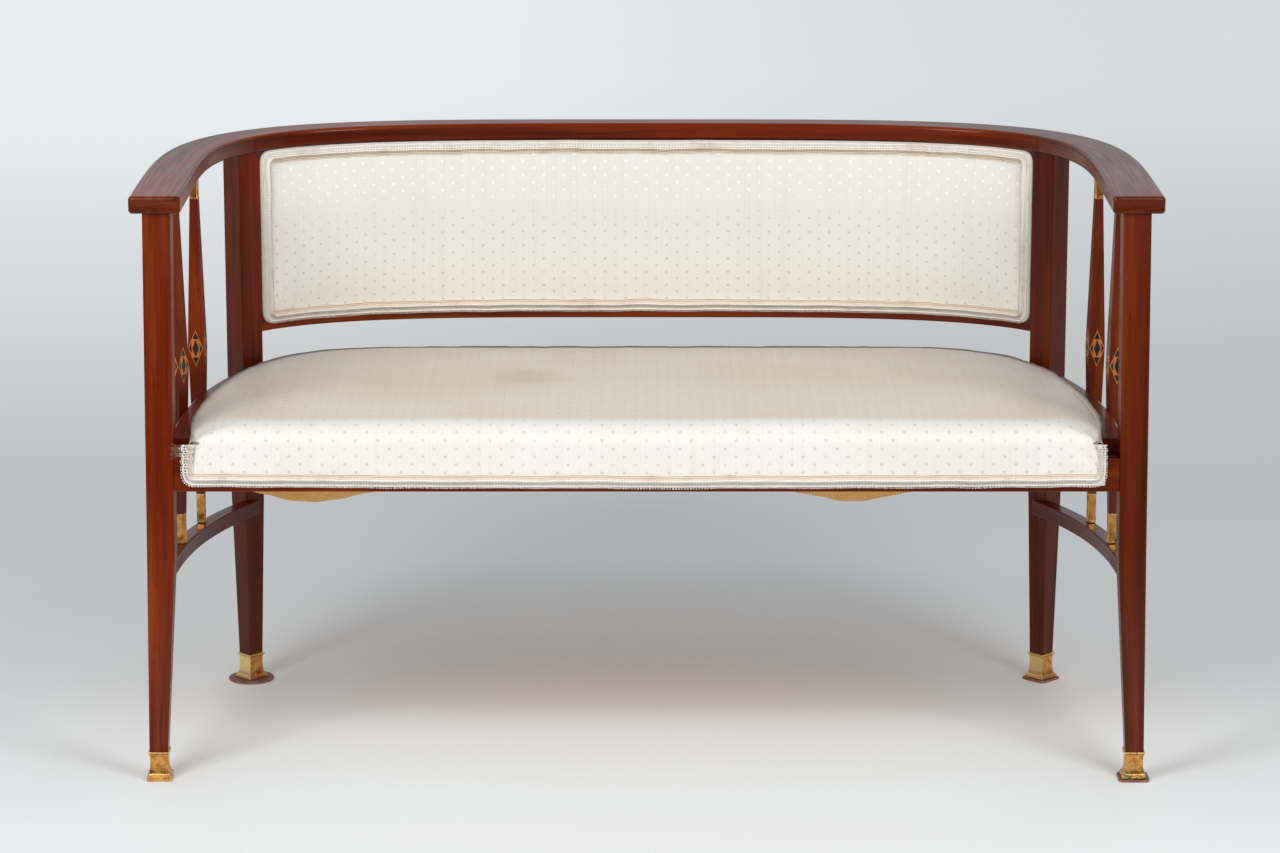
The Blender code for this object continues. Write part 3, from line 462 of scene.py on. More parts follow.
def inlay_finish(name, dark, light, lift):
    """Thin veneer with a fine straight grain."""
    finish = Finish(name, Coat_Weight=0.3, Coat_Roughness=0.16)
    grain = finish.cloud((900, 900, 60), 3.0, 0.6)
    finish.start(grain, dark, light)
    return finish.done(finish.bump(grain, lift), finish.ramp(grain, 0.3, 0.7, 0.28, 0.42))


PALE_BACKDROP = (0.72, 0.75, 0.77, 1)


def stage_finish(settings):
    """Pale paper with a painted pool of light in front. Far behind the settee the viewer sees it as a
    glowing backdrop of painted light, with a painted shadow behind the settee.
    """
    finish = Finish("Pale studio paper", Roughness=0.9, Specular_IOR_Level=0.1)
    across, depth = finish.split(finish.place())[:2]
    seen, mirrored = (finish.node("LightPath", output=ray) for ray in (0, 3))
    fibre = finish.noise(finish.place(), 900, 2.0)
    off_middle = finish.sum("ABSOLUTE", across)
    finish.tone = opaque(settings.paper)
    finish.lay(finish.times(fibre, 0.02), (1, 1, 1, 1))
    # Painted pool of light: the floor in front of and under the front of the settee is painted paler
    # and cooler, most near the middle.
    lit = finish.times(finish.ramp(depth, 0.06, -0.14), finish.ramp(depth, -0.52, -0.3),
                       finish.ramp(off_middle, 0.75, 0.3))
    finish.lay(lit, (0.89, 0.965, 1.0, 1))
    # Painted reflection: in reflections the floor far in front is painted nearly black.
    finish.lay(finish.times(mirrored, finish.ramp(depth, -0.75, -1.5)), (0.03, 0.03, 0.03, 1))
    # Painted light on the backdrop: the far paper glows lighter with distance and to the left, and a
    # painted shadow darkens it round the place behind the settee.
    glow = finish.mix(finish.ramp(depth, 1.4, 5.6), opaque(settings.painted_backdrop_low),
                      opaque(settings.painted_backdrop_high))
    behind = finish.vector("LENGTH", finish.place((1 / 0.62, 1 / 1.3, 0), move=(0, -1.3, 0)),
                           output=1)
    painted_light_and_shadow = finish.times(finish.ramp(across, -1.1, 1.3, 1.12, 0.92),
                          finish.ramp(behind, 0.0, 1.5, 0.9, 1.0))
    light = finish.node("Emission", {"Color": glow, "Strength": painted_light_and_shadow})
    aside = finish.ramp(finish.most(off_middle, finish.times(depth, -1)), 2.2, 6)
    far_off = finish.node("Emission", {"Color": PALE_BACKDROP})
    light = finish.node("MixShader", {0: aside, 1: light, 2: far_off})
    share = finish.times(finish.most(finish.ramp(depth, 0.7, 2.7), aside),
                         finish.most(seen, mirrored))
    both = finish.node("MixShader", {0: share, 1: finish.shader.outputs[0], 2: light})
    finish.feed(finish.tree.nodes["Material Output"].inputs[0], both)
    return finish.done(finish.bump(fibre, 0.05 * MM, 0.2))


# Meshes

def put(name, data):
    """A new object in the scene."""
    thing = bpy.data.objects.new(name, data)
    bpy.context.collection.objects.link(thing)
    return thing


def make_piece(name, verts, faces, material=None, uv=None, smooth=True, sharp=None):
    """A new mesh object. uv gives one place on the piece's own map for each corner point."""
    mesh = bpy.data.meshes.new(name)
    mesh.from_pydata([tuple(v) for v in verts], [], [tuple(f) for f in faces])
    if uv is not None:
        layer = mesh.uv_layers.new(name="Run")
        layer.data.foreach_set("uv", np.asarray(uv, float).ravel())
    mesh.validate()
    piece = put(name, mesh)
    if smooth:
        mesh.shade_smooth()
        if sharp is not None:
            mesh.set_sharp_from_angle(angle=math.radians(sharp))
    if material is not None:
        mesh.materials.append(material)
    return piece


def read_points(mesh):
    """Where all vertices of a mesh are, one row for each."""
    points = np.empty(len(mesh.vertices) * 3)
    mesh.vertices.foreach_get("co", points)
    return points.reshape(-1, 3)


def write_points(mesh, points):
    """Move all vertices of a mesh."""
    mesh.vertices.foreach_set("co", points.ravel())
    mesh.update()


def grid_faces(index):
    """Squares over a grid of vertex numbers."""
    columns, rows = index.shape
    return [(index[c, r], index[c + 1, r], index[c + 1, r + 1], index[c, r + 1])
            for c in range(columns - 1) for r in range(rows - 1)]


def grid_border(index):
    """The vertex numbers round a grid, in order."""
    return (list(index[:, 0]) + list(index[-1, 1:]) + list(index[-2::-1, -1])
            + list(index[0, -2:0:-1]))


def join_rows(first, second, closed=False):
    """Squares between two rows of vertex numbers, or between two rings."""
    pairs = list(zip(first, second))
    following = pairs[1:] + pairs[:1] if closed else pairs[1:]
    return [(a, b, d, c) for (a, b), (c, d) in zip(pairs, following)]


def wander(x, y, z=0.0):
    """Smooth random values at places, from -1 to 1."""
    return np.array([noise.noise(Vector(place)) for place in np.broadcast(x, y, z)])


def face_outward(piece):
    """Turn every face of a closed piece outward."""
    mesh = bmesh.new()
    mesh.from_mesh(piece.data)
    bmesh.ops.recalc_face_normals(mesh, faces=mesh.faces)
    mesh.to_mesh(piece.data)
    mesh.free()


def tube_faces(rows):
    """Faces of a bar from its rings of vertex numbers, closed at both ends."""
    faces = [rows[0], rows[-1][::-1]]
    for first, second in zip(rows, rows[1:]):
        faces += join_rows(first, second, True)
    return faces


def spoke(angle):
    """Unit vectors in plan at angles."""
    return np.stack([np.cos(angle), np.sin(angle)], axis=-1)


def rounded_section(width, height, radius, steps=4, hold=0.35 * MM):
    """Corner points of a rounded rectangle, with a held line beside each round."""
    points = []
    for quarter, (x, y) in enumerate(((1, 1), (-1, 1), (-1, -1), (1, -1))):
        centre = np.array([x * (width / 2 - radius), y * (height / 2 - radius)])
        start = math.pi / 2 * quarter
        corner = centre + radius * spoke(start + np.linspace(0, math.pi / 2, steps + 1))
        points += [corner[0] + hold * spoke(start - math.pi / 2), *corner,
                   corner[-1] + hold * spoke(start + math.pi)]
    return np.array(points)


def sweep(name, rows, runs, material, sharp=50):
    """Join rows of section points into a closed bar, with a map along its run and girth."""
    rows = np.asarray(rows, float)
    count, around = rows.shape[:2]
    girth = np.linalg.norm(np.diff(np.concatenate([rows[0], rows[0][:1]]), axis=0), axis=1)
    girth = np.concatenate([[0], np.cumsum(girth)])
    faces, uv = [], []
    for row in range(count - 1):
        for point in range(around):
            after = (point + 1) % around
            quad = [(row, point, point), (row, after, point + 1),
                    (row + 1, after, point + 1), (row + 1, point, point)]
            faces.append([r * around + p for r, p, g in quad])
            uv += [(runs[r], girth[g]) for r, p, g in quad]
    for row, order in ((0, range(around - 1, -1, -1)), (count - 1, range(around))):
        faces.append([row * around + p for p in order])
        middle = rows[row].mean(axis=0)
        uv += [(runs[row] + 0.3 * float(rows[row][p][2] - middle[2]), girth[p]) for p in order]
    piece = make_piece(name, rows.reshape(-1, 3), faces, material, uv, sharp=sharp)
    face_outward(piece)
    return piece


def settle(piece, slot, *nodes):
    """Hang a finished piece on the root body and hide the frame nodes that it stands for. The slot,
    which names what it is made of, is not used.
    """
    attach(piece, "root")
    if nodes:
        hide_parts(*nodes)
    return piece


def end_runs(low, high, round_low, round_high, steps, ends=5):
    """Stations along a bar, closer together where its two ends are rounded."""
    curve = 1 - np.cos(math.pi / 2 * np.arange(ends) / ends)
    return np.concatenate([low + round_low * curve,
                           np.linspace(low + round_low, high - round_high, steps),
                           (high - round_high * curve)[::-1]])


def end_inset(run, low, high, round_low, round_high):
    """How far a section is drawn in near a rounded end."""
    for reach, radius in ((run - low, round_low), (high - run, round_high)):
        if reach < radius:
            return radius - math.sqrt(max(radius ** 2 - (radius - reach) ** 2, 0.0))
    return 0.0


def line_bar(name, line, ends, rounds, offsets, heights, radius, material, steps=60):
    """A rounded bar along a plan line, between two offsets and two heights."""
    runs = end_runs(*ends, *rounds, steps)
    rows = []
    for run in runs:
        drawn = end_inset(run, *ends, *rounds)
        inner, outer = offsets(run)
        width, height = outer - inner - 2 * drawn, heights[1] - heights[0] - 2 * drawn
        section = rounded_section(width, height, min(radius, width / 2.2, height / 2.2))
        across, z = (section + ((inner + outer) / 2, sum(heights) / 2)).T
        rows.append(np.column_stack([*line.at(np.full(len(z), run), across), z]))
    return sweep(name, rows, runs, material)


def bow_bar(name, side, x_of, ends, offsets, heights, radius, material, steps=40):
    """A rounded bar along a bow, between two offsets and two heights."""
    depths = np.linspace(ends[0], ends[1], steps)
    across, z = rounded_section(offsets[1] - offsets[0], heights[1] - heights[0], radius).T
    rows = []
    for depth in depths:
        slope = (x_of(depth + MM) - x_of(depth - MM)) / (2 * MM)
        x = x_of(depth) + sum(offsets) / 2 + across * math.sqrt(1 + slope ** 2)
        rows.append(np.column_stack([side * x, np.full(len(x), depth), sum(heights) / 2 + z]))
    return sweep(name, rows, depths + side, material)


def square_stack(name, levels, turn, material, sharp=50):
    """A closed stack of rounded squares: centre, side, height and corner radius of each."""
    rows, runs = [], []
    spin = np.array([spoke(turn), spoke(turn + math.pi / 2)])
    for centre, side, z, radius in levels:
        section = rounded_section(side, side, min(radius, side / 2.2), 3, 0.2 * MM) @ spin
        rows.append(np.column_stack([section + centre[:2], np.full(len(section), z)]))
        runs.append(z + centre[0] * 3 + centre[1])
    return sweep(name, rows, runs, material, sharp=sharp)


# Wood

def make_rails(material):
    """The two arms and the crest, jointed over the back legs."""
    whole = 2 * RAIL_LINE.half
    radius, joint, gap = 4.5 * MM, 0.35 * MM, GAP / 2
    heights = (RAIL_UNDERSIDE, RAIL_TOP)
    spans = (("right_arm", (0, BACK_LEG_RUN - gap), (radius, joint), 50),
             ("crest", (BACK_LEG_RUN + gap, whole - BACK_LEG_RUN - gap), (joint, joint), 120),
             ("left_arm", (whole - BACK_LEG_RUN + gap, whole), (joint, radius), 50))

    def offsets(run):
        half = float(rail_half_width(run))
        return -half, half

    for name, ends, rounds, steps in spans:
        rail = line_bar("polished_" + name, RAIL_LINE, ends, rounds, offsets, heights, radius,
                        material, steps)
        settle(rail, "mahogany", name + "_rail")


def make_legs(material):
    """The four legs, from under the rail down into their shoes."""
    foot = SHOE_LOW + 9.3 * MM
    top = RAIL_UNDERSIDE - GAP
    for side, word in SIDES:
        levels = []
        for z in (top, 0.56, 0.42, 0.33, FRONT_TAPER_HEIGHT, 0.2, 0.12, ANKLE):
            x, y, width = front_leg_section(z)
            levels.append(((side * x, y), width, z, 1.6 * MM))
        low = levels[-1]
        levels += [(low[0], FOOT_SIDE, ANKLE, MM), (low[0], FOOT_SIDE, foot, MM)]
        leg = square_stack("polished_front_" + word + "_leg", levels, 0, material)
        settle(leg, "mahogany", "front_" + word + "_leg")
        centre = back_leg_centre(side)
        levels = [(centre, LEG_SIDE, z, 1.6 * MM) for z in (top, 0.6, 0.5, 0.4, BACK_TAPER_HEIGHT)]
        levels += [(centre, BACK_ANKLE_SIDE, ANKLE, 1.4 * MM), (centre, FOOT_SIDE, ANKLE, MM),
                   (centre, FOOT_SIDE, foot, MM)]
        leg = square_stack("polished_back_" + word + "_leg", levels, math.pi / 4, material)
        settle(leg, "mahogany", "back_" + word + "_leg")


def make_bowed_pair(kind, x_of, ends, offsets, heights, radius, material):
    """A left and a right bar that follow a bow."""
    for side, word in SIDES:
        name = word + "_" + kind
        bar = bow_bar("polished_" + name, side, x_of, ends, offsets, heights, radius, material)
        settle(bar, "mahogany", name)


def make_seat_rails(material):
    """The four rails round the seat, the lower rail of the back and the two stretchers."""
    section = front_leg_section(FRONT_RAIL_TOP)
    reach = section.x - section.z / 2 - GAP
    runs = end_runs(-reach, reach, 0.4 * MM, 0.4 * MM, 30, 3)
    across, z = rounded_section(26 * MM, FRONT_RAIL_TOP - SEAT_UNDERSIDE, 1.6 * MM).T
    rows = [np.column_stack([np.full(len(z), x), LEG_FRONT + 13 * MM - across,
                             (SEAT_UNDERSIDE + FRONT_RAIL_TOP) / 2 + z]) for x in runs]
    settle(sweep("polished_front_rail", rows, runs, material), "mahogany", "front_seat_rail")
    heights = (SEAT_UNDERSIDE, SIDE_RAIL_TOP)
    ends = (LEG_FRONT + LEG_SIDE + GAP, back_leg_centre(1).y)
    make_bowed_pair("seat_rail", seat_rail_bow(), ends, (-SIDE_RAIL_THICK, 0), heights, 3 * MM,
                    material)
    half = SIDE_RAIL_THICK / 2
    jobs = (("back_rail", "back_seat_rail", LEG_SIDE / 2,
             (-BACK_RAIL_SET - half, -BACK_RAIL_SET + half), heights, 3 * MM),
            ("lower_back_rail", "lower_back_rail", PANEL_SET / 2,
             (PANEL_FACE, PANEL_FACE + LOWER_RAIL_THICK), (LOWER_RAIL_BOTTOM, LOWER_RAIL_TOP),
             2.5 * MM))
    for name, node, past, offsets, levels, radius in jobs:
        ends = (BACK_LEG_RUN + past, 2 * RAIL_LINE.half - BACK_LEG_RUN - past)
        bar = line_bar("polished_" + name, RAIL_LINE, ends, (0.3 * MM, 0.3 * MM),
                       lambda run: offsets, levels, radius, material, 100)
        settle(bar, "mahogany", node)
    x_of, start = stretcher_bow()
    half = STRETCHER_WIDTH / 2
    make_bowed_pair("stretcher", x_of, (start - half, back_leg_corner().y + half), (-half, half),
                    (STRETCHER_BOTTOM, STRETCHER_TOP), 2.5 * MM, material)


def post_places():
    """Name, plan centre and turn of each post."""
    x_of = stretcher_bow()[0]
    for place, y in POST_PLACES:
        x = (x_of(y) + RAIL_LINE.x_at(y)) / 2
        for side, word in SIDES:
            turn = POST_TURN
            if place == "front" and side < 0:
                turn = LEFT_FRONT_POST_TURN
            yield word + "_" + place + "_post", Vector((side * x, y)), side * turn


def post_side(z):
    """Side of a post at a height, fullest at its middle."""
    reach = (POST_TOP - POST_BOTTOM) / 2 - FERRULE_LENGTH
    share = min(abs(z - POST_MIDDLE) / reach, 1.0)
    return POST_MIDDLE_SIDE + (POST_END_SIDE - POST_MIDDLE_SIDE) * share


def make_posts(material):
    """Four posts that swell to their middles."""
    low, high = POST_BOTTOM + FERRULE_LENGTH + GAP, POST_TOP - FERRULE_LENGTH - GAP
    core = 8.4 * MM
    heights = [low, low + 0.05, POST_MIDDLE - 0.06, POST_MIDDLE - 0.5 * MM,
               POST_MIDDLE + 0.5 * MM, POST_MIDDLE + 0.06, high - 0.05, high]
    for name, centre, turn in post_places():
        levels = [(centre, core, POST_BOTTOM, 0.4 * MM), (centre, core, low, 0.4 * MM)]
        levels += [(centre, post_side(z), z, 0.7 * MM) for z in heights]
        levels += [(centre, core, high, 0.4 * MM), (centre, core, POST_TOP, 0.4 * MM)]
        post = square_stack("polished_" + name, levels, turn, material)
        settle(post, "mahogany", name)


INLAY_HEIGHT = 47 * MM
INLAY_WIDTH = 19.6 * MM


def inlay_shapes():
    """Outlines in shares of half the inlay's size, which are dark, and how proud in millimetres."""
    band = 0.42
    lozenge = [(0, -1), (1, 0), (0, 1), (-1, 0)]
    yield lozenge, False, 0.10
    for way in (-1, 1):
        yield [(-0.40, way * 0.5), (0.40, way * 0.5), (0, way * 0.90)], True, 0.16
        yield [(way * 0.50, -0.29), (way * 0.90, 0), (way * 0.50, 0.29), (way * 0.56, 0)], True, 0.16
    yield [(0, -0.47), (band, 0), (0, 0.47), (-band, 0)], True, 0.16


def clip_half(outline, way):
    """The part of an outline above or below its middle line."""
    kept = []
    for first, second in zip(outline, outline[1:] + outline[:1]):
        if first[1] * way >= 0:
            kept.append(first)
        if first[1] * second[1] < 0:
            share = first[1] / (first[1] - second[1])
            kept.append((first[0] + (second[0] - first[0]) * share, 0.0))
    return kept


def make_inlays(dark_wood, light_wood):
    """Lozenges let into the four faces of each post."""
    for name, centre, turn in post_places():
        for is_dark, word, material, slot in ((True, "dark", dark_wood, "mahogany"),
                                              (False, "light", light_wood, "beech")):
            verts, faces = [], []
            for angle in (turn + math.pi / 2 * face for face in range(4)):
                out = Vector((math.cos(angle), math.sin(angle), 0))
                along = Vector((-out.y, out.x, 0))
                for outline, shade, proud in inlay_shapes():
                    for half in (clip_half(outline, way) for way in (-1, 1)):
                        if shade != is_dark or len(half) < 3:
                            continue
                        rings = []
                        for depth in (-0.25 * MM, proud * MM):
                            rings.append(list(range(len(verts), len(verts) + len(half))))
                            for a, b in half:
                                z = POST_MIDDLE + b * INLAY_HEIGHT / 2
                                place = Vector((centre.x, centre.y, z))
                                place += along * (a * INLAY_WIDTH / 2)
                                verts.append(place + out * (post_side(z) / 2 + depth))
                        faces += tube_faces(rings)
            piece = make_piece(name + "_" + word + "_inlay", verts, faces, material, smooth=False)
            face_outward(piece)
            settle(piece, slot)


# Brass and leather

def make_shoe(name, centre, turn, low, material):
    """A cast shoe: a stepped plinth, a hollowed body, a bead and a square rim."""
    # Sides and heights in millimetres
    base, waist, rim, bore = 30.4, 21.8, 26.2, FOOT_SIDE / MM + 0.5
    plinth = ((base, 0.9), (base, 1.7), (base - 0.7, 2.3), (base - 1.9, 2.5), (base - 1.9, 2.9),
              (base - 1.2, 3.3), (base - 1.5, 3.9))
    neck = ((waist - 0.2, 7), (waist, 5.4), (waist + 0.6, 4.7), (waist + 1.6, 4.3),
            (waist + 1.6, 3.7), (waist + 0.5, 3.2), (rim - 1.2, 2.4), (rim - 0.2, 2.0),
            (rim, 1.2), (rim - 0.3, 0.3), (rim - 1.2, 0), (bore, 0))
    lip = 0.5 if low < SHOE_LOW else 0.4
    levels = [(base - 1.6, low), (base - 0.3, low + lip * MM)]
    levels += [(side, SHOE_LOW + height * MM) for side, height in plinth]
    for angle in np.linspace(0, math.pi / 2, 11):
        side = base - 2.6 - (base - 2.6 - waist) * math.sin(angle)
        levels.append((side, SHOE_LOW + (4.2 + 12.5 * (1 - math.cos(angle))) * MM))
    levels.append((waist - 0.3, SHOE_LOW + 19 * MM))
    levels += [(side, SHOE_TOP - down * MM) for side, down in neck]
    levels.append((bore, SHOE_LOW + 9 * MM))
    stack = [(centre, side * MM, z, 1.1 * MM) for side, z in levels]
    shoe = square_stack("cast_" + name, stack, turn, material, sharp=70)
    return settle(shoe, "brass", name)


def make_shoes(plain, green):
    """The four cast shoes."""
    ankle = front_leg_section(ANKLE)
    for side, word in SIDES:
        front = Vector((side * ankle.x, ankle.y))
        low = 0 if side < 0 else SHOE_LOW
        make_shoe("front_" + word + "_shoe", front, 0, low, plain if side < 0 else green)
        make_shoe("back_" + word + "_shoe", back_leg_centre(side), math.pi / 4, SHOE_LOW, plain)


def make_ferrules(material):
    """Square sleeves on both ends of each post, with rolled rims."""
    # Sides and heights in millimetres
    side, whole = FERRULE_SIDE / MM, FERRULE_LENGTH / MM
    half = [(9, 0), (side - 0.5, 0), (side, 0.4), (side, 1.5), (side - 0.5, 1.9),
            (side - 0.45, 12)]
    shape = half + [(side - 0.6, whole / 2)] + [(width, whole - z) for width, z in half[::-1]]
    for name, centre, turn in post_places():
        for word, low in (("bottom", POST_BOTTOM), ("top", POST_TOP - FERRULE_LENGTH)):
            stack = [(centre, width * MM, low + z * MM, 1.3 * MM) for width, z in shape]
            ferrule = square_stack("cast_" + name + "_" + word + "_ferrule", stack, turn, material,
                                   sharp=70)
            settle(ferrule, "brass", name + "_" + word + "_ferrule")


def make_pads(material):
    """Leather pads under three of the shoes, worn thin at their edges."""
    ankle = front_leg_section(ANKLE)
    thick = 3 * MM
    jobs = (("front_right_pad", Vector((ankle.x, ankle.y)), 0.0, 19 * MM, 7.0),
            ("back_right_pad", back_leg_centre(1), math.pi / 4, 19 * MM, 7.0),
            ("back_left_pad", back_leg_centre(-1), 0.0, 29.7 * MM, 2.0))
    profile = ((0.90, 0.0), (0.975, 0.0), (1.0, 0.35), (1.0, 0.7), (0.975, 0.95), (0.93, 1.0),
               (0.80, 0.97))
    angle = 2 * math.pi * np.arange(72) / 72
    for name, centre, turn, reach, power in jobs:
        c, s = np.abs(spoke(angle).T)
        radius = reach / (c ** power + s ** power) ** (1 / power)
        radius *= 1 - 0.022 * (0.5 + 0.5 * wander(*(spoke(angle).T * 2.1), reach * 300))
        outline = radius[:, None] * spoke(angle + turn)
        rings = [np.column_stack([outline * share + centre[:2], np.full(72, thick * height)])
                 for share, height in profile]
        pad = sweep("worn_" + name, rings, [0.001 * k for k in range(len(rings))], material)
        settle(pad, "leather", name)


# Cloth and stuffing

DOT_SPACING = 26.7 * MM
DOT_WIDTH = 2.2 * MM
DOT_HEIGHT = 1.75 * MM


def silk_finish(name, settings, soiled_and_shaded_top, painted_light_by_height, row):
    """Ivory silk with faint ribs and small woven dots in half drop rows."""
    finish = Finish(name, Sheen_Weight=0.12, Sheen_Roughness=0.45, Specular_IOR_Level=0.38)
    where = finish.node("TexCoord", output=2)
    along = finish.split(where)[1]
    reach = finish.vector("MULTIPLY", where, (1 / DOT_SPACING, 0.5 / row, 0))
    near = []
    for shift in (0.0, 0.5):
        cell = finish.vector("FRACTION", finish.vector("ADD", reach, (shift, shift, 0)))
        cell = finish.vector("SUBTRACT", cell, (0.5, 0.5, 0))
        cell = finish.vector("MULTIPLY", cell, (DOT_SPACING / DOT_WIDTH, 2 * row / DOT_HEIGHT, 0))
        near.append(finish.vector("LENGTH", cell, output=1))
    faded = finish.ramp(finish.grain((30, 60, 1)), 0.3, 0.6, 0.5, 1)
    dot = finish.times(finish.ramp(finish.sum("MINIMUM", *near), 1.1, 0.75), faded)
    ribs = finish.grain((330, 5, 1), 3.0, 0.6)
    threads = finish.grain((2600, 380, 1), rough=0.6)
    finish.tone = opaque(settings.silk_clean)
    finish.layer(finish.cloud((5, 6, 5), 3.0, 0.55), 0.35, 0.75, 0.22, opaque(settings.silk_worn))
    # The seat's top is painted darker and warmer: partly soiling, partly painted shade of the top.
    if soiled_and_shaded_top:
        patch = finish.ramp(finish.cloud((3.2, 4.5, 3), 4.0, 0.6), 0.25, 0.8, 0.62, 1.0)
        finish.lay(finish.times(finish.ramp(along, 0.066, 0.112), patch),
                   opaque(settings.silk_top_soil_and_shade))
        spot = finish.vector("DISTANCE", finish.place(), (-0.145, -0.02, 0.45), 1)
        ragged = finish.times(finish.cloud((34, 34, 34), 4.0, 0.65), 0.075)
        finish.layer(finish.sum("ADD", spot, ragged), 0.105, 0.055, 0.30, colour(186, 152, 112))
    # Painted light: the lower part of the back silk is painted lighter, where it faces down towards
    # the seat.
    if painted_light_by_height:
        finish.layer(along, 0.62, 0.52, 0.75, (0.95, 0.915, 0.84, 1))
    finish.layer(ribs, 0.40, 0.68, 0.07, colour(176, 168, 152))
    finish.layer(finish.grain((70, 2.5, 1)), 0.52, 0.72, 0.05, colour(178, 168, 150))
    finish.layer(finish.grain((900, 24, 1)), 0.66, 0.74, 0.16, colour(150, 136, 112))
    # Painted sheen: the dots are painted white high up the back and grey lower down.
    if painted_light_by_height:
        high = finish.ramp(along, 0.585, 0.635)
        finish.lay(finish.times(dot, finish.ramp(high, 0, 1, 0.34, 0.8)),
                   finish.mix(high, colour(150, 148, 138), (1, 1, 1, 1)))
    else:
        finish.lay(finish.times(dot, 0.34), colour(150, 150, 144))
    height = finish.sum("ADD", finish.times(threads, 0.35), finish.times(ribs, 0.65))
    weave = finish.bump(height, 0.12 * MM, 0.55)
    return finish.done(finish.bump(dot, 0.10 * MM, 0.8, weave),
                       finish.sum("SUBTRACT", finish.ramp(threads, 0.3, 0.7, 0.42, 0.6),
                                  finish.times(dot, 0.22)))


def hessian_finish():
    """Coarse brown cloth over hair."""
    finish = Finish("Hessian over hair", Roughness=0.95)
    weave = finish.weave((700, 60, 60), (60, 700, 60), "Object")
    finish.start(weave, colour(96, 74, 50), colour(154, 126, 88))
    finish.layer(finish.cloud((260, 260, 260), 5.0, 0.7, 1.5), 0.56, 0.64, 0.7, colour(48, 34, 24))
    return finish.done(finish.bump(weave, 0.4 * MM, 0.8))


WEB_WIDTH = 50 * MM


def jute_finish():
    """Woven jute web with two darker lines along it."""
    finish = Finish("Jute web", Roughness=0.93)
    across = finish.split(finish.node("TexCoord", output=2))[1]
    weave = finish.weave((60, 1100, 1), (900, 90, 1), "UV")
    finish.start(weave, colour(126, 100, 66), colour(186, 158, 114))
    line = finish.away(finish.sum("PINGPONG", across, WEB_WIDTH / 2), 9 * MM)
    finish.layer(line, 1.4 * MM, 0.9 * MM, 0.7, colour(86, 58, 34))
    return finish.done(finish.bump(weave, 0.3 * MM, 0.9))


def ochre_finish():
    """Old ochre cotton, faded and a little dusty."""
    finish = Finish("Ochre cotton", Roughness=0.88, Sheen_Weight=0.1)
    weave = finish.weave((1500, 120, 300), (120, 1500, 300), "Object")
    finish.start(weave, colour(182, 124, 46), colour(222, 164, 78))
    finish.layer(finish.cloud((14, 14, 14), 4.0, 0.6), 0.45, 0.75, 0.4, colour(196, 156, 98))
    return finish.done(finish.bump(weave, 0.15 * MM, 0.7))


def braid_finish(name, settings, age, openwork_painted_shade, painted_side_shade=0.0):
    """Cotton braid: pale lace at its outer edge, a dark openwork line painted as shade in its gaps,
    and a ribbed tan strip.
    """
    finish = Finish(name, Roughness=0.85, Sheen_Weight=0.2)
    along, across = finish.split(finish.node("TexCoord", output=2))[:2]
    low = finish.node("Attribute", attribute_name="lift", output=2)
    # Painted shade: the openwork gaps along the ladder line are painted dark.
    hollow = finish.times(finish.ramp(finish.away(across, 9.6 * MM), 1.5 * MM, 1.1 * MM),
                          finish.ramp(low, 0.66 * MM, 0.60 * MM), openwork_painted_shade)
    twist = finish.node("TexWave", {"Vector": finish.place((1, 0.35, 1), "UV"),
                                    "Scale": 150.0, "Distortion": 1.2, "Detail": 2.0}, 1)
    tan = colour(214, 184, 152)
    finish.start(across, opaque(settings.braid_lace), opaque(settings.braid_strip),
                 10.4 * MM, 11.0 * MM)
    finish.layer(twist, 0.62, 0.2, 0.16, tan)
    finish.layer(finish.cloud((38, 38, 38), 4.0, 0.65), 0.48, 0.76, age, colour(186, 150, 112))
    finish.layer(low, 0.66 * MM, 0.58 * MM, 0.22, tan)
    finish.lay(hollow, colour(64, 44, 34))
    # Painted shade: the grooves beside the middle cord of the strip are painted darker.
    for place in (13.45, 15.35):
        finish.layer(finish.away(across, place * MM), 0.75 * MM, 0.2 * MM, 0.5,
                     colour(186, 142, 108))
    stitch = finish.sum("PINGPONG", along, 0.875 * MM)
    finish.layer(stitch, 0.3 * MM, 0.05 * MM, 0.3, colour(202, 170, 138))
    dots = finish.ramp(finish.grain((520, 60, 1), 1.0), 0.60, 0.66)
    finish.lay(finish.times(finish.ramp(across, 16.3 * MM, 17.2 * MM), dots, 0.8),
               colour(98, 74, 54))
    # Painted shade: a braid that lies in shade is painted a darker tan all over.
    finish.lay(painted_side_shade, colour(150, 120, 88))
    height = finish.sum("ADD", twist, finish.times(finish.cloud((1500, 1500, 1500)), 0.6))
    return finish.done(finish.bump(height, 0.22 * MM, 0.7))


PUFF_FRAMES = 20


def puff(piece, held, pressure, cap, stiff=14.0):
    """Blow a stuffed piece up with a short cloth simulation, and cap how far it moves."""
    scene = bpy.context.scene
    start = read_points(piece.data)
    group = piece.vertex_groups.new(name="Held")
    group.add([int(index) for index in held], 1.0, "REPLACE")
    cloth = piece.modifiers.new("Puff", "CLOTH")
    cloth.settings.effector_weights.gravity = 0
    for name, value in (("vertex_group_mass", "Held"), ("use_pressure", True),
                        ("uniform_pressure_force", pressure), ("quality", 6), ("mass", 0.25),
                        ("tension_stiffness", stiff), ("compression_stiffness", stiff),
                        ("shear_stiffness", stiff / 2), ("bending_stiffness", 0.6)):
        setattr(cloth.settings, name, value)
    cloth.point_cache.frame_start = 1
    cloth.point_cache.frame_end = PUFF_FRAMES
    for step in range(1, PUFF_FRAMES + 1):
        scene.frame_set(step)
    blown = piece.evaluated_get(bpy.context.evaluated_depsgraph_get())
    moved = read_points(blown.to_mesh()) - start
    blown.to_mesh_clear()
    piece.modifiers.remove(cloth)
    piece.vertex_groups.remove(group)
    scene.frame_set(1)
    far = np.linalg.norm(moved, axis=1, keepdims=True)
    share = np.where(far > 1e-9, cap * np.tanh(far / cap) / np.maximum(far, 1e-9), 0.0)
    write_points(piece.data, start + moved * share)


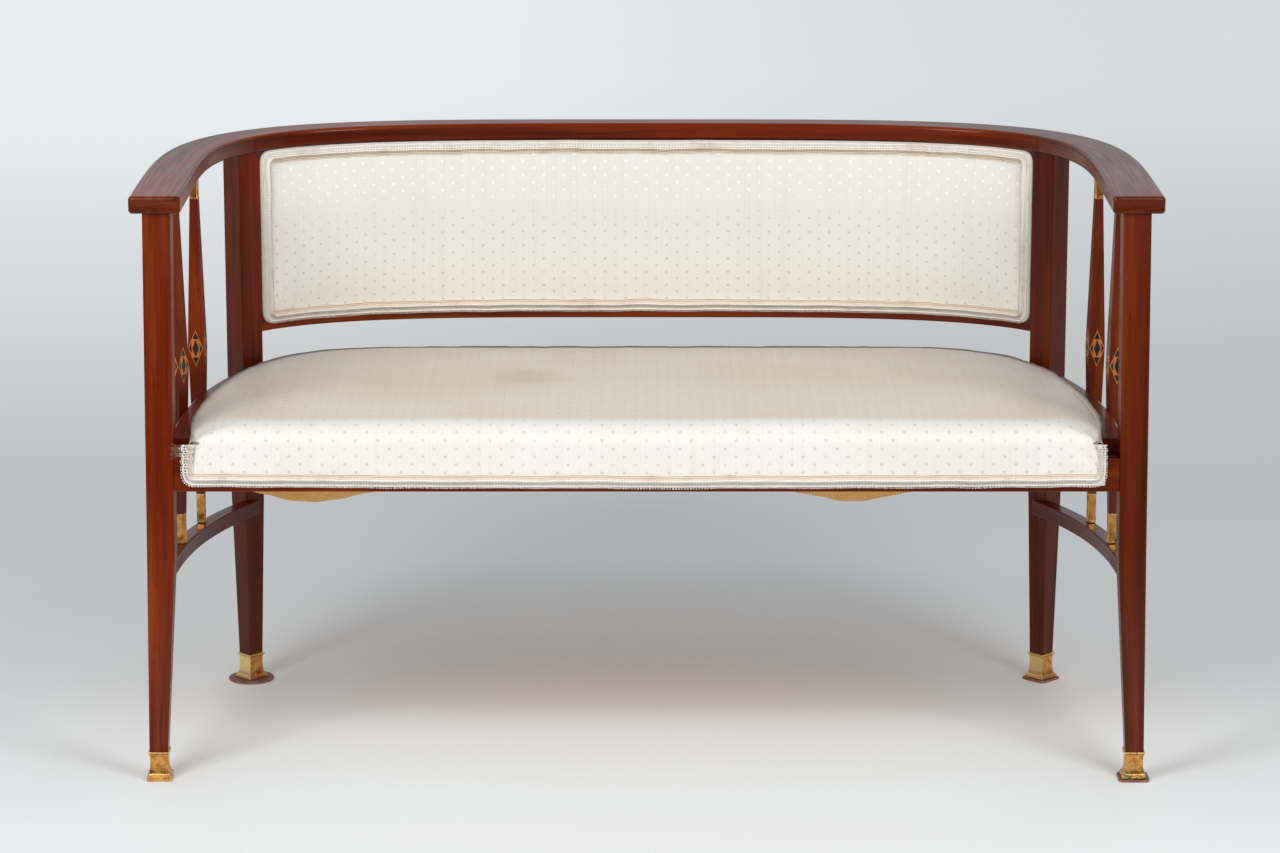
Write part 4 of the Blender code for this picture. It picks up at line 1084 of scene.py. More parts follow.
def point_map(piece, places):
    """Give a piece its own map from one place for each vertex."""
    layer = piece.data.uv_layers.get("Run") or piece.data.uv_layers.new(name="Run")
    corners = np.empty(len(piece.data.loops), dtype=int)
    piece.data.loops.foreach_get("vertex_index", corners)
    layer.data.foreach_set("uv", np.asarray(places, float)[corners].ravel())


def refine(piece, levels=1):
    """One round of smooth subdivision, applied, with a flat underside closed afterwards."""
    modifier = piece.modifiers.new("Smooth", "SUBSURF")
    modifier.levels = levels
    modifier.render_levels = levels
    finished = bpy.data.meshes.new_from_object(
        piece.evaluated_get(bpy.context.evaluated_depsgraph_get()))
    piece.modifiers.remove(modifier)
    old = piece.data
    finished.name = old.name + "_smooth"
    piece.data = finished
    bpy.data.meshes.remove(old)
    mesh = bmesh.new()
    mesh.from_mesh(piece.data)
    rim = [edge for edge in mesh.edges if edge.is_boundary]
    if rim:
        bmesh.ops.holes_fill(mesh, edges=rim, sides=0)
        bmesh.ops.recalc_face_normals(mesh, faces=mesh.faces)
    mesh.to_mesh(piece.data)
    mesh.free()
    piece.data.shade_smooth()


SEAT_GAP = GIMP_THICK + GAP
SEAT_FACE = LEG_FRONT - CUSHION_FRONT
SEAT_EDGE = 18 * MM
SEAT_ROLL = 36 * MM
SEAT_CROWN = 36 * MM
SEAT_COLUMNS, SEAT_ROWS, EDGE_STEPS, ROLL_STEPS, SKIRT_STEPS = 108, 44, 6, 9, 8


def inset_from_line(points, line, inset):
    """How far points in plan are inside a plan line that is itself drawn in."""
    runs = np.linspace(0, 2 * line.half, 900)
    edge = line.at(runs, -inset)
    away = np.hypot(points[0][:, None] - edge[0][None], points[1][:, None] - edge[1][None])
    return away.min(axis=1)


def seat_height(points, inset):
    """Height of the seat's cover over places in plan."""
    depth = np.clip((points[1] - LEG_FRONT) / CUSHION_DEPTH, 0, 1)
    full = SEAT_CROWN - 15 * MM * depth ** 2
    reach = np.maximum(points[1] - SEAT_FACE, 0)
    near = np.exp(-(reach / 0.06) ** 2)
    share = 0.18 - 0.14 * near
    rise = 1 - np.exp(-(np.maximum(inset, 0) / (0.0323 + 0.03 * near)) ** (0.69 + 0.2 * near))
    side = full * (share + (1 - share) * rise)
    round_off = np.sqrt(np.clip(1 - (1 - np.minimum(reach / SEAT_ROLL, 1)) ** 2, 0, 1))
    front = 24 * MM * round_off + 12.5 * MM * (1 - np.exp(-(reach / 0.12) ** 1.3))
    sharp = 1 / (1.5 * MM)
    return CUSHION_BOTTOM - np.log(np.exp(-sharp * side) + np.exp(-sharp * front)) / sharp


def corner_pinch(x, y, z):
    """How far the cover is drawn in sideways above both front corners."""
    side = np.sign(x)
    most = np.where(side < 0, 3.5 * MM, 6 * MM)
    high = np.exp(-((z - CUSHION_BOTTOM - 6 * MM) / (12 * MM)) ** 2)
    near = np.exp(-(np.maximum(y - SEAT_FACE, 0) / (50 * MM)) ** 2)
    return -side * most * high * near * np.clip((np.abs(x) - 0.49) / 0.058, 0, 1)


def corner_run(line):
    """The run at which the line faces halfway between the side and the rear."""
    runs = np.linspace(0.2 * line.half, line.half, 2000)
    normals = line.normal(runs)
    return float(runs[np.argmax(normals[1] >= normals[0])])


def skirt_lift(x):
    """How much higher the hem of the skirt is away from its middle."""
    return 2.3 * MM * np.minimum(np.abs(x) / CUSHION_HALF_WIDTH, 1) ** 2


def zone_grid(line, inset, front, columns, rows):
    """A grid of points in plan that fills the space inside a line, and its border's runs."""
    turn = corner_run(line)
    start = float(np.interp(front, line.y[:400], line.runs[:400]))
    side = np.linspace(start, turn, rows + 1)
    rear = np.linspace(turn, 2 * line.half - turn, columns + 1)
    right = line.at(side, -inset)
    right[1][0] = front
    left = np.stack([-right[0], right[1]])
    back = line.at(rear, -inset)[:, ::-1]
    near = np.stack([np.linspace(left[0][0], right[0][0], columns + 1),
                     np.full(columns + 1, front)])
    u = np.linspace(0, 1, columns + 1)[:, None]
    v = np.linspace(0, 1, rows + 1)[None, :]
    across = (1 - v) * near[:, :, None] + v * back[:, :, None]
    along = (1 - u) * left[:, None] + u * right[:, None]
    grid = across + along - (1 - u) * across[:, :1] - u * across[:, -1:]
    loop = np.concatenate([side, rear[1:], (2 * line.half - side)[::-1][1:]])
    return grid, loop


def make_seat(material):
    """The stuffed seat: a crowned top, a soft front edge and a skirt over the front rail."""
    front = SEAT_FACE + SEAT_ROLL
    grid, loop = zone_grid(CUSHION_LINE, SEAT_GAP + SEAT_EDGE, front, SEAT_COLUMNS, SEAT_ROWS)
    verts, places = [], []

    def add(x, y, z, u, v):
        verts.append((x, y, z))
        places.append((u, v))
        return len(verts) - 1

    lead = CUSHION_BOTTOM - SKIRT_BOTTOM + 24.6 * MM
    flat = grid.reshape(2, -1)
    high = seat_height(flat, inset_from_line(flat, CUSHION_LINE, SEAT_GAP))
    patch = np.array([add(x, y, z, x, lead + y - front) for x, y, z in zip(*flat, high)])
    patch = patch.reshape(SEAT_COLUMNS + 1, SEAT_ROWS + 1)
    border = list(patch[-1]) + list(patch[-2::-1, -1]) + list(patch[0, -2::-1])
    faces = grid_faces(patch)
    rings = [border]
    normals = CUSHION_LINE.normal(loop)
    reach = [SEAT_EDGE * math.sin(math.pi / 2 * k / EDGE_STEPS) for k in range(1, EDGE_STEPS + 1)]
    for k, out in enumerate(reach + [SEAT_EDGE]):
        offset = -(SEAT_GAP + SEAT_EDGE - out)
        points = CUSHION_LINE.at(loop, offset)
        points[1][0] = points[1][-1] = front
        z = seat_height(points, np.full(len(loop), SEAT_EDGE - out))
        if k == EDGE_STEPS:
            z[:] = CUSHION_BOTTOM
        run = out + (high.max() - z) * 0.6
        u, v = np.array([places[i] for i in border]).T + normals * run
        rings.append([add(*point) for point in zip(*points, z, u, v)])
    for inner, outer in zip(rings, rings[1:]):
        faces += join_rows(inner, outer)
    first = [ring[-1] for ring in reversed(rings[1:])] + list(patch[:, 0])
    first += [ring[0] for ring in rings[1:]]
    edge_x = verts[rings[0][0]][0]
    back_y = LEG_FRONT - GAP
    rows, ends = [first], [0, -1]
    first_x = np.array([verts[i][0] for i in first])
    u = np.clip((np.abs(first_x) - edge_x) / SEAT_EDGE, 0, 1)
    for step in range(1, ROLL_STEPS + SKIRT_STEPS + 1):
        rolled = min(step / ROLL_STEPS, 1.0)
        fall = max(step - ROLL_STEPS, 0) / SKIRT_STEPS
        v = math.sin(math.pi / 2 * rolled)
        power = 2.6 + 6 * fall
        squeeze = np.maximum(u, v) / (u ** power + v ** power) ** (1 / power)
        wide = SEAT_EDGE + 1.7 * MM * min(2.5 * fall, 1)
        x = np.where(u > 0, np.sign(first_x) * (edge_x + wide * u * squeeze), first_x)
        y = front - SEAT_ROLL * v * squeeze
        inside = np.where(u > 0, SEAT_EDGE * (1 - u), SEAT_EDGE + edge_x - np.abs(x))
        z = seat_height(np.stack([x, np.full(len(x), front - SEAT_ROLL * v)]), inside)
        z += (SKIRT_BOTTOM - z) * fall
        if step >= ROLL_STEPS:
            y[ends] = back_y
        if step <= ROLL_STEPS:
            z[ends] = CUSHION_BOTTOM
        arc = lead - (SEAT_ROLL + high.max() - CUSHION_BOTTOM - 0.012) * 0.55 * rolled
        rows.append([add(*point, places[start][0], arc * (1 - fall))
                     for start, *point in zip(first, x, y, z)])
    for upper, lower in zip(rows, rows[1:]):
        faces += join_rows(upper, lower)
    last = rows[-1]
    under = [add(verts[i][0], back_y, SKIRT_BOTTOM, *places[i]) for i in last[1:-1]]
    behind = [add(verts[i][0], back_y, CUSHION_BOTTOM, *places[i]) for i in last[1:-1]]
    faces += join_rows(last[1:-1], under)
    faces += [(last[0], under[0], last[1]), (last[-1], last[-2], under[-1])]
    faces += join_rows(under, behind)
    skirt = rows[ROLL_STEPS:]
    faces.append([last[0], under[0], behind[0]] + [row[0] for row in skirt[:-1]])
    faces.append([last[-1], under[-1], behind[-1]] + [row[-1] for row in skirt[:-1]])
    coords = np.array(verts)
    held = set(under).union(behind, *rings[-3:], *rows[-4:])
    for row in rows:
        held.update(row[:3] + row[-3:])
    free = np.ones(len(verts))
    free[list(held)] = 0
    coords = settle_seat(coords, free, np.array(places))
    coords[:, 0] += corner_pinch(*coords.T)
    share = (CUSHION_BOTTOM - coords[:, 2]) / (CUSHION_BOTTOM - SKIRT_BOTTOM)
    coords[:, 2] += np.clip(share, 0, 1) * skirt_lift(coords[:, 0])
    seat = make_piece("silk_seat", coords, faces, material)
    face_outward(seat)
    point_map(seat, places)
    puff(seat, held, 4.0, 9 * MM)
    refine(seat)
    return settle(seat, "silk", "seat_cushion")


SEAT_CORNER_X = 0.548
TUCK_X = 0.533
TUCK_FAN_X = 0.545


def settle_seat(coords, free, places):
    """Let the seat down a little before it is blown up, and give it its dents and tucks."""
    x, y = coords[:, 0].copy(), coords[:, 1].copy()
    along = places[:, 1]
    away = np.clip((coords[:, 2] - CUSHION_BOTTOM) / (36 * MM), 0, 1)
    lower = 7.5 * MM
    top = np.clip((along - 0.055) / 0.05, 0, 1)
    corner = np.exp(-(np.maximum(SEAT_CORNER_X - np.abs(x), 0) / 0.06) ** 2)
    corner *= np.exp(-(np.maximum(y - SEAT_FACE - 0.02, 0) / 0.07) ** 2)
    coords[:, 2] -= free * lower * top * np.clip(away * 1.3, 0, 1) * (1 - 0.85 * corner)
    lump = free * MM * (1.3 * wander(x * 5.5, y * 7.0, 3.7) + 0.45 * wander(x * 14, y * 12, 8.1))
    coords[:, 2] += np.where(along > 0.07, lump, 0)
    coords[:, 1] += np.where(along > 0.07, 0, 0.6 * lump)
    for side in (-1, 1):
        reach = np.hypot(x - side * TUCK_X, (along - 0.02) * 1.2)
        angle = np.arctan2(along - 0.012, (side * TUCK_FAN_X - x) * side)
        tuck = 1.5 * MM * np.exp(-((reach - 0.015) / 0.022) ** 2) * np.sin(angle * 7 + 2 * side)
        coords[:, 1] += free * tuck * np.clip((0.062 - along) / 0.03, 0, 1)
    return coords


PAD_ENDS = (BACK_LEG_RUN + PANEL_RUN_IN, 2 * RAIL_LINE.half - BACK_LEG_RUN - PANEL_RUN_IN)
PAD_HALF = RAIL_LINE.half - PAD_ENDS[0]
PAD_CORNER = 15 * MM


def bend_to_back(coords):
    """Bend points from the flat panel to the curve of the back."""
    return np.column_stack([*RAIL_LINE.at(RAIL_LINE.half - coords[:, 0], coords[:, 1]),
                            coords[:, 2]])


def graded(low, high, edges, steps):
    """Values from low to high, with set distances near both ends and even ones between."""
    middle = np.linspace(low + edges[-1], high - edges[-1], steps + 1)
    return np.concatenate([[low + e for e in edges[:-1]], middle, [high - e for e in edges[-2::-1]]])


def rounded_corners(x, z, low, high, radius, power=2.0):
    """Pull the corners of a rectangle of points in to a round."""
    half, middle = (high - low) / 2, (high + low) / 2
    u = np.clip((np.abs(x) - (PAD_HALF - radius)) / radius, 0, 1)
    v = np.clip((np.abs(z - middle) - (half - radius)) / radius, 0, 1)
    norm = (u ** power + v ** power) ** (1 / power)
    squeeze = np.where(norm > 1e-9, np.maximum(u, v) / np.maximum(norm, 1e-9), 1.0)
    x = np.where((u > 0) & (v > 0), np.sign(x) * (PAD_HALF - radius + radius * u * squeeze), x)
    z = np.where((u > 0) & (v > 0),
                 middle + np.sign(z - middle) * (half - radius + radius * v * squeeze), z)
    return x, z


def make_back_pad(material):
    """The crowned pad of the back, blown up flat and then bent to the rail."""
    low, high = BACK_PAD_BOTTOM + 0.6 * MM, BACK_PAD_TOP - 0.6 * MM
    edges = [v * MM for v in (0, 0.8, 3, 7, 12, 17, 20, 24, 30, 38, 48)]
    across = graded(-PAD_HALF, PAD_HALF, edges, 92)
    up = graded(low, high, edges, 12)
    x, z = (part.ravel() for part in np.meshgrid(across, up, indexing="ij"))
    inward = np.minimum(z - low, high - z)
    border = np.minimum(PAD_HALF - np.abs(x), inward)
    rise = np.clip((inward - 19 * MM) / 92e-3, 0, 1) ** 0.75
    ends = np.clip((PAD_HALF - np.abs(x) - GIMP_WIDTH) / (3.2 * GIMP_WIDTH), 0, 1)
    crown = np.sin(rise * math.pi / 2) * np.sin(ends * math.pi / 2) ** 0.7
    full = 19 * MM - ((5.5 * MM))
    edge = np.clip(border / (3 * MM), 0, 1)
    thick = 1.6 * MM + 3.4 * MM * np.sqrt(np.clip(1 - (1 - edge) ** 2, 0, 1)) + full * crown
    soft = MM * wander(x * 6, z * 8, 1.3)
    soft += 0.7 * MM * np.exp(-(PAD_HALF - np.abs(x)) / 0.05) * np.sin(x * 420 + z * 9)
    soft += 0.35 * MM * np.exp(-inward / 0.03) * np.sin(x * 210 + 3 * wander(x * 9, 0))
    thick += soft * np.clip((border - 19 * MM) / (12 * MM), 0, 1)
    x, z = rounded_corners(x, z, low, high, PAD_CORNER)
    count = len(x)
    fronts = np.stack([x, PAD_BACK - thick, z], axis=1)
    backs = np.stack([x, np.full(count, PAD_BACK), z], axis=1)
    index = np.arange(count).reshape(len(across), len(up))
    faces = grid_faces(index)
    faces += [tuple(vertex + count for vertex in reversed(face)) for face in faces]
    loop = grid_border(index)
    faces += join_rows(loop, [vertex + count for vertex in loop], True)
    coords = np.concatenate([fronts, backs])
    pad = make_piece("silk_back_pad", coords, faces, material)
    face_outward(pad)
    places = np.stack([coords[:, 0], coords[:, 2]], axis=1)
    point_map(pad, places)
    held = [v for v in range(count) if border[v] < 18.5 * MM] + list(range(count, len(coords)))
    puff(pad, held, 4.0, 6.5 * MM)
    refine(pad)
    write_points(pad.data, bend_to_back(read_points(pad.data)))
    return settle(pad, "silk", "back_pad")


def thin_shell(name, coords, size, thick, normals, material, places):
    """A sheet of cloth with its own thickness, closed round its edges."""
    count = size[0] * size[1]
    index = np.arange(count).reshape(size)
    faces = []
    for quad in grid_faces(index):
        faces += [quad, tuple(v + count for v in reversed(quad))]
    loop = grid_border(index)
    faces += join_rows(loop, [v + count for v in loop], True)
    both = np.concatenate([coords + normals * thick / 2, coords - normals * thick / 2])
    piece = make_piece(name, both, faces, material)
    face_outward(piece)
    point_map(piece, np.concatenate([places, places]))
    return piece


def make_rear_cover(material):
    """The silk stretched over the rear of the back panel."""
    across = np.linspace(-PAD_HALF - 12 * MM, PAD_HALF + 12 * MM, 150)
    up = np.linspace(BACK_PAD_BOTTOM, RAIL_UNDERSIDE - GAP, 34)
    x, z = (part.ravel() for part in np.meshgrid(across, up, indexing="ij"))
    border = np.minimum(PAD_HALF + 12 * MM - np.abs(x),
                        np.minimum(z - BACK_PAD_BOTTOM, RAIL_UNDERSIDE - GAP - z))
    full = np.clip((border - 16 * MM) / (40 * MM), 0, 1)
    out = REAR_FACE + 0.8 * MM + 1.1 * MM * np.sin(full * math.pi / 2)
    out += full * 0.18 * MM * np.sin(x * 160 + 5 * wander(x * 7, z * 4, 2.2))
    flat = np.stack([x, out, z], axis=1)
    coords = bend_to_back(flat)
    normal = RAIL_LINE.normal(RAIL_LINE.half - x)
    normals = np.stack([normal[0], normal[1], np.zeros(len(x))], axis=1)
    cover = thin_shell("silk_rear_cover", coords, (len(across), len(up)), 0.7 * MM, normals,
                       material, np.stack([x, z], axis=1))
    return settle(cover, "silk", "rear_cover")


CLOTH_SWAGS = ((-0.75, 30 * MM), (-0.58, 9 * MM), (-0.20, 12 * MM), (0.42, 22 * MM), (0.53, 14 * MM),
               (0.80, 13 * MM))


def make_dust_cloth(material):
    """A slack cloth tacked under the seat rails, hanging in swags at the front."""
    top = SEAT_UNDERSIDE - GAP - 0.6 * MM
    edge = LEG_FRONT + 12 * MM
    columns, rows = 176, 84
    x, y = zone_grid(CUSHION_LINE, -3 * MM, edge, columns, rows)[0].reshape(2, -1)
    inset = np.minimum(inset_from_line(np.stack([x, y]), CUSHION_LINE, -3 * MM), y - edge)
    inset[np.arange(columns + 1) * (rows + 1)] = 0
    sag = np.zeros(len(x))
    for place, depth in CLOTH_SWAGS:
        wide = (x - place * CUSHION_HALF_WIDTH) / (68 * MM)
        deep = (y - LEG_FRONT - 100 * MM) / (95 * MM)
        sag += depth * np.exp(-wide ** 2 - deep ** 2)
    slack = 1 - np.exp(-(np.maximum(inset - 7 * MM, 0) / (16 * MM)) ** 1.2)
    bend = wander(x * 5, y * 3, 4.4)
    fine = 1.1 * np.sin(x * 95 + 7 * bend) + 0.6 * np.sin(x * 230 + 9 * bend)
    fine *= MM * np.exp(-np.maximum(y - edge, 0) / 0.16)
    fine += MM * (1.2 + 1.6 * wander(x * 7, y * 7, 0.5))
    z = top - slack * (sag + np.maximum(fine, -0.2 * MM))
    coords = np.stack([x, y, z], axis=1)
    normals = np.tile([0.0, 0.0, 1.0], (len(x), 1))
    cloth = thin_shell("ochre_dust_cloth", coords, (columns + 1, rows + 1), 0.6 * MM, normals,
                       material, np.stack([x, y], axis=1))
    return settle(cloth, "ochre_cloth", "dust_cloth")


def make_stuffing(material):
    """The hair and hessian platform under the seat."""
    low, high = height_span("seat_stuffing")
    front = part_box("seat_stuffing")[0][1] + 4 * MM
    columns, rows = 60, 28
    x, y = zone_grid(CUSHION_LINE, 33 * MM, front, columns, rows)[0].reshape(2, -1)
    count = len(x)
    index = np.arange(count).reshape(columns + 1, rows + 1)
    border = grid_border(index)
    top = high - 0.8 * MM + 0.7 * MM * wander(x * 20, y * 20, 0.2)
    coords = [np.stack([x, y, top], axis=1)]
    rim = np.stack([x, y], axis=1)[border]
    after, before = np.roll(rim, -1, axis=0), np.roll(rim, 1, axis=0)
    along = after - before
    out = np.stack([along[:, 1], -along[:, 0]], axis=1) / np.linalg.norm(along, axis=1)[:, None]
    half = (high - low) / 2
    for angle in np.linspace(math.pi / 8, math.pi, 8):
        ring = rim + out * (4.2 * MM * math.sin(angle))
        level = low + half + (half - 0.8 * MM) * math.cos(angle)
        coords.append(np.column_stack([ring, np.full(len(ring), level)]))
    coords = np.concatenate(coords)
    faces = grid_faces(index)
    rings = [border] + list(count + np.arange(8 * len(border)).reshape(8, -1))
    for previous, current in zip(rings, rings[1:]):
        faces += join_rows(previous, current, True)
    faces.append(rings[-1])
    stuffing = make_piece("hessian_stuffing", coords, faces, material)
    face_outward(stuffing)
    return settle(stuffing, "hair", "seat_stuffing")


def make_webbing(material):
    """Jute webs woven over and under each other."""
    middle = sum(height_span("seat_webbing")) / 2
    wide = WEB_WIDTH
    half_span = CUSHION_HALF_WIDTH - 80 * MM
    cross = np.linspace(-half_span, half_span - wide, 10) + wide / 2
    near = LEG_FRONT + 4 * MM
    far = LEG_FRONT + CUSHION_DEPTH - 137.5 * MM
    lengthwise = np.linspace(near, far - wide, 5) + wide / 2
    x_of = seat_rail_bow()
    line_x = RAIL_LINE.at(np.linspace(BACK_LEG_RUN + LEG_SIDE / 2, RAIL_LINE.half, 60),
                          -(BACK_RAIL_SET + SIDE_RAIL_THICK / 2 + 2 * GAP))
    mesh_verts, faces, places = [], [], []

    def web(start, end, at, crossings, along_x, phase):
        count = max(int((end - start) / (5 * MM)), 8)
        ways = np.where((np.arange(len(crossings)) + phase) % 2, 1, -1)
        rows = []
        for run in np.linspace(start, end, count + 1):
            reach = np.minimum(np.abs(run - crossings) / (34 * MM), 1)
            lift = 0.36 * MM * (ways * (1 + np.cos(math.pi * reach)) / 2).sum()
            row = []
            for side, height in ((-0.5, -0.3), (0.5, -0.3), (0.5, 0.3), (-0.5, 0.3)):
                spot = at + side * wide
                z = middle + lift + height * MM
                mesh_verts.append((run, spot, z) if along_x else (spot, run, z))
                places.append((run, (side + 0.5) * wide))
                row.append(len(mesh_verts) - 1)
            rows.append(row)
        faces.extend(tube_faces(rows))

    for number, y in enumerate(lengthwise):
        reach = x_of(y + wide / 2) - SIDE_RAIL_THICK - 3 * GAP
        web(-reach, reach, y, cross, True, number)
    for number, x in enumerate(cross):
        reach = float(np.interp(-abs(x) - wide / 2, -line_x[0], line_x[1])) - GAP
        web(near, reach, x, lengthwise, False, number + 1)
    piece = make_piece("jute_webs", mesh_verts, faces, material, sharp=40)
    face_outward(piece)
    point_map(piece, places)
    return settle(piece, "jute", "seat_webbing")


# Braid

class Pattern(Nodes):
    """A geometry node tree that is put together node by node."""

    def __init__(self, name, inputs):
        super().__init__(bpy.data.node_groups.new(name, "GeometryNodeTree"))
        face = self.tree.interface
        face.new_socket("Geometry", in_out="OUTPUT", socket_type="NodeSocketGeometry")
        for socket, kind, value in inputs:
            item = face.new_socket(socket, in_out="INPUT", socket_type="NodeSocket" + kind)
            item.default_value = value
        self.given = self.tree.nodes.new("NodeGroupInput")

    def get(self, name):
        """One of the tree's own inputs."""
        return self.given.outputs[name]

    def join(self, parts):
        """Join several geometries."""
        node = self.tree.nodes.new("GeometryNodeJoinGeometry")
        for part in parts:
            self.feed(node.inputs[0], part)
        return node.outputs[0]

    def move(self, geometry, x, y, z):
        """Move a geometry by distances in millimetres."""
        return self.node("GeometryNodeTransform", {"Geometry": geometry,
                                                   "Translation": (x * MM, y * MM, z * MM)})

    def thread(self, curve, radius, sides=5, flat=(1, 1, 1)):
        """Turn a curve into a round or flattened thread."""
        ring = self.node("GeometryNodeCurvePrimitiveCircle", {"Resolution": sides, "Radius": radius})
        ring = self.node("GeometryNodeTransform", {"Geometry": ring, "Scale": flat})
        return self.node("GeometryNodeCurveToMesh", {0: curve, 1: ring, "Fill Caps": True})

    def line(self, start, end):
        """A straight curve."""
        return self.node("GeometryNodeCurvePrimitiveLine", {"Start": start, "End": end})

    def done(self, geometry, material):
        """Realise, give the material, and end the tree."""
        real = self.node("GeometryNodeRealizeInstances", {0: geometry})
        dressed = self.node("GeometryNodeSetMaterial", {"Geometry": real, "Material": material})
        out = self.tree.nodes.new("NodeGroupOutput")
        self.tree.links.new(dressed, out.inputs[0])
        return self.tree


def grow(tree, name, values):
    """Run a tree on an empty object with its named inputs set, and give the plain mesh."""
    holder = put(name, bpy.data.meshes.new(name))
    modifier = holder.modifiers.new("Pattern", "NODES")
    modifier.node_group = tree
    for item in tree.interface.items_tree:
        if item.in_out == "INPUT" and item.name in values:
            modifier[item.identifier] = values[item.name]
    mesh = bpy.data.meshes.new_from_object(
        holder.evaluated_get(bpy.context.evaluated_depsgraph_get()))
    holder.modifiers.remove(modifier)
    bpy.data.objects.remove(holder)
    if len(mesh.vertices) == 0:
        raise RuntimeError("The pattern " + name + " came out empty")
    return mesh


BRAID_PITCH = 3.5 * MM


def braid_pattern(material):
    """A flat length of braid along X, with its picots at Y 0 and its ribbed strip further in."""
    pattern = Pattern("Braid", (("Stitches", "Int", 100), ("Pitch", "Float", BRAID_PITCH),
                                ("Seed", "Int", 1)))
    pitch, stitch_count = pattern.get("Pitch"), pattern.get("Stitches")
    length = pattern.node("ShaderNodeMath", {0: stitch_count, 1: pitch}, operation="MULTIPLY")
    count = pattern.node("ShaderNodeMath", {0: stitch_count, 1: 1.3, 2: 1.0},
                         operation="MULTIPLY_ADD")
    random_scale = pattern.node("FunctionNodeRandomValue",
                                {2: 0.86, 3: 1.16, "Seed": pattern.get("Seed")}, 1,
                                data_type="FLOAT")
    arc = pattern.node("GeometryNodeCurveArc", {"Resolution": 6, "Radius": 0.66 * MM,
                                                "Start Angle": math.pi * 0.9,
                                                "Sweep Angle": math.pi * 1.2}, mode="RADIUS")
    picot = pattern.move(pattern.thread(arc, 0.52 * MM, 5), 1.75, 0.85, 0.65)
    step = pattern.node("ShaderNodeCombineXYZ", {0: pitch})
    places = pattern.node("GeometryNodeMeshLine", {"Count": stitch_count, "Offset": step})
    picots = pattern.node("GeometryNodeInstanceOnPoints", {"Points": places, "Instance": picot,
                                                           "Scale": random_scale})
    stitches = []
    for start, end, radius in (((0, 2.2), (1.75, 6.8), 0.55), ((1.75, 6.8), (3.5, 2.2), 0.55),
                               ((1.75, 2.4), (2.6, 4.6), 0.5), ((0.9, 4.6), (1.75, 2.4), 0.5),
                               ((1.75, 8.2), (1.75, 10.9), 0.95)):
        stitches.append(pattern.thread(pattern.line((start[0] * MM, start[1] * MM, 0.6 * MM),
                                                    (end[0] * MM, end[1] * MM, 0.65 * MM)),
                                       radius * MM, 4))
    lace = pattern.node("GeometryNodeInstanceOnPoints",
                        {"Points": places, "Instance": pattern.join(stitches)})
    end = pattern.node("ShaderNodeCombineXYZ", {0: length})
    run = pattern.node("GeometryNodeResampleCurve",
                       {"Curve": pattern.line((0, 0, 0), end), "Count": count}, mode="COUNT")
    cords = []
    for y, height, wide, tall in ((2.7, 0.75, 0.55, 0.55), (7.7, 0.85, 0.85, 0.65),
                                  (11.2, 0.8, 0.5, 0.65), (12.5, 0.8, 0.9, 0.85),
                                  (14.4, 0.85, 0.95, 0.95), (16.3, 0.75, 0.9, 0.8)):
        cords.append(pattern.move(pattern.thread(run, MM, 6, (tall, wide, 1)), 0, y, height))
    tape = pattern.move(pattern.thread(run, MM, 4, (0.28, 7.1, 1)), 0, 9.9, 0.3)
    return pattern.done(pattern.join([picots, lace] + cords + [tape]), material)


def lay_braid(name, material, length, place, seed, closed=False):
    """Grow a length of braid and lay it with a function of run, across and lift."""
    stitches = int(round(length / BRAID_PITCH))
    tree = finish_of("braid tree " + material.name, braid_pattern, material)
    mesh = grow(tree, name, {"Stitches": stitches, "Seed": seed})
    flat = read_points(mesh)
    reach = stitches * BRAID_PITCH
    run = flat[:, 0] / reach * length
    across, lift = flat[:, 1].copy(), flat[:, 2].copy()
    knots = np.linspace(0, length, int(length / 0.009) + 2)
    wave = wander(knots * 23 + seed * 7.7, 0.3, seed)
    sway = wander(knots * 60 + seed * 3.1, 4.3, seed)
    if closed:
        fade = np.clip(np.minimum(knots, length - knots) / 0.03, 0, 1)
        wave, sway = wave * fade, sway * fade
    across = across + np.interp(run, knots, wave) * 1.2 * MM
    across = across * (1 + np.interp(run, knots, sway) * 0.06)
    lift = lift * (1 + np.interp(run, knots, sway) * 0.25)
    write_points(mesh, place(run, across, lift))
    attribute = mesh.attributes.new("lift", "FLOAT", "POINT")
    attribute.data.foreach_set("value", flat[:, 2])
    piece = put(name, mesh)
    mesh.name = name
    mesh.shade_smooth()
    point_map(piece, np.stack([run, flat[:, 1]], axis=1))
    return piece


def trace(parts, radius, run, across):
    """Follow straight lines and quarter turns: start or centre, angle, length and squeeze of each."""
    x, z = np.zeros(len(run)), np.zeros(len(run))
    start = 0.0
    for (px, pz), angle, length, squeeze in parts:
        here = (run >= start - 1e-9) & (run <= start + length + 1e-9)
        reach, inward = run[here] - start, across[here]
        start += length
        if squeeze:
            c, s = math.cos(angle * math.pi), math.sin(angle * math.pi)
            x[here] = px + c * reach - s * inward * squeeze
            z[here] = pz + s * reach + c * inward * squeeze
        else:
            turned = angle * math.pi + reach / radius
            away = np.maximum(radius - inward, 0.5 * MM)
            x[here], z[here] = px + np.cos(turned) * away, pz + np.sin(turned) * away
    return x, z


def frame_parts(width, low, high, radius):
    """The outer edge of a braid that runs round a panel."""
    spans = (width - 2 * radius, high - low - 2 * radius)
    x, z = spans[0] / 2, spans[1] / 2
    middle = (high + low) / 2
    starts = ((-x, -z - radius), (x + radius, -z), (x, z + radius), (-x - radius, z))
    centres = ((x, -z), (x, z), (-x, z), (-x, -z))
    for number in range(4):
        for (px, pz), back, length, squeeze in (
                (starts[number], 0, spans[number % 2], 1),
                (centres[number], 0.5, math.pi / 2 * radius, 0)):
            yield (px, pz + middle), number / 2 - back, length, squeeze


BACK_BRAID_TURN = 17.5 * MM


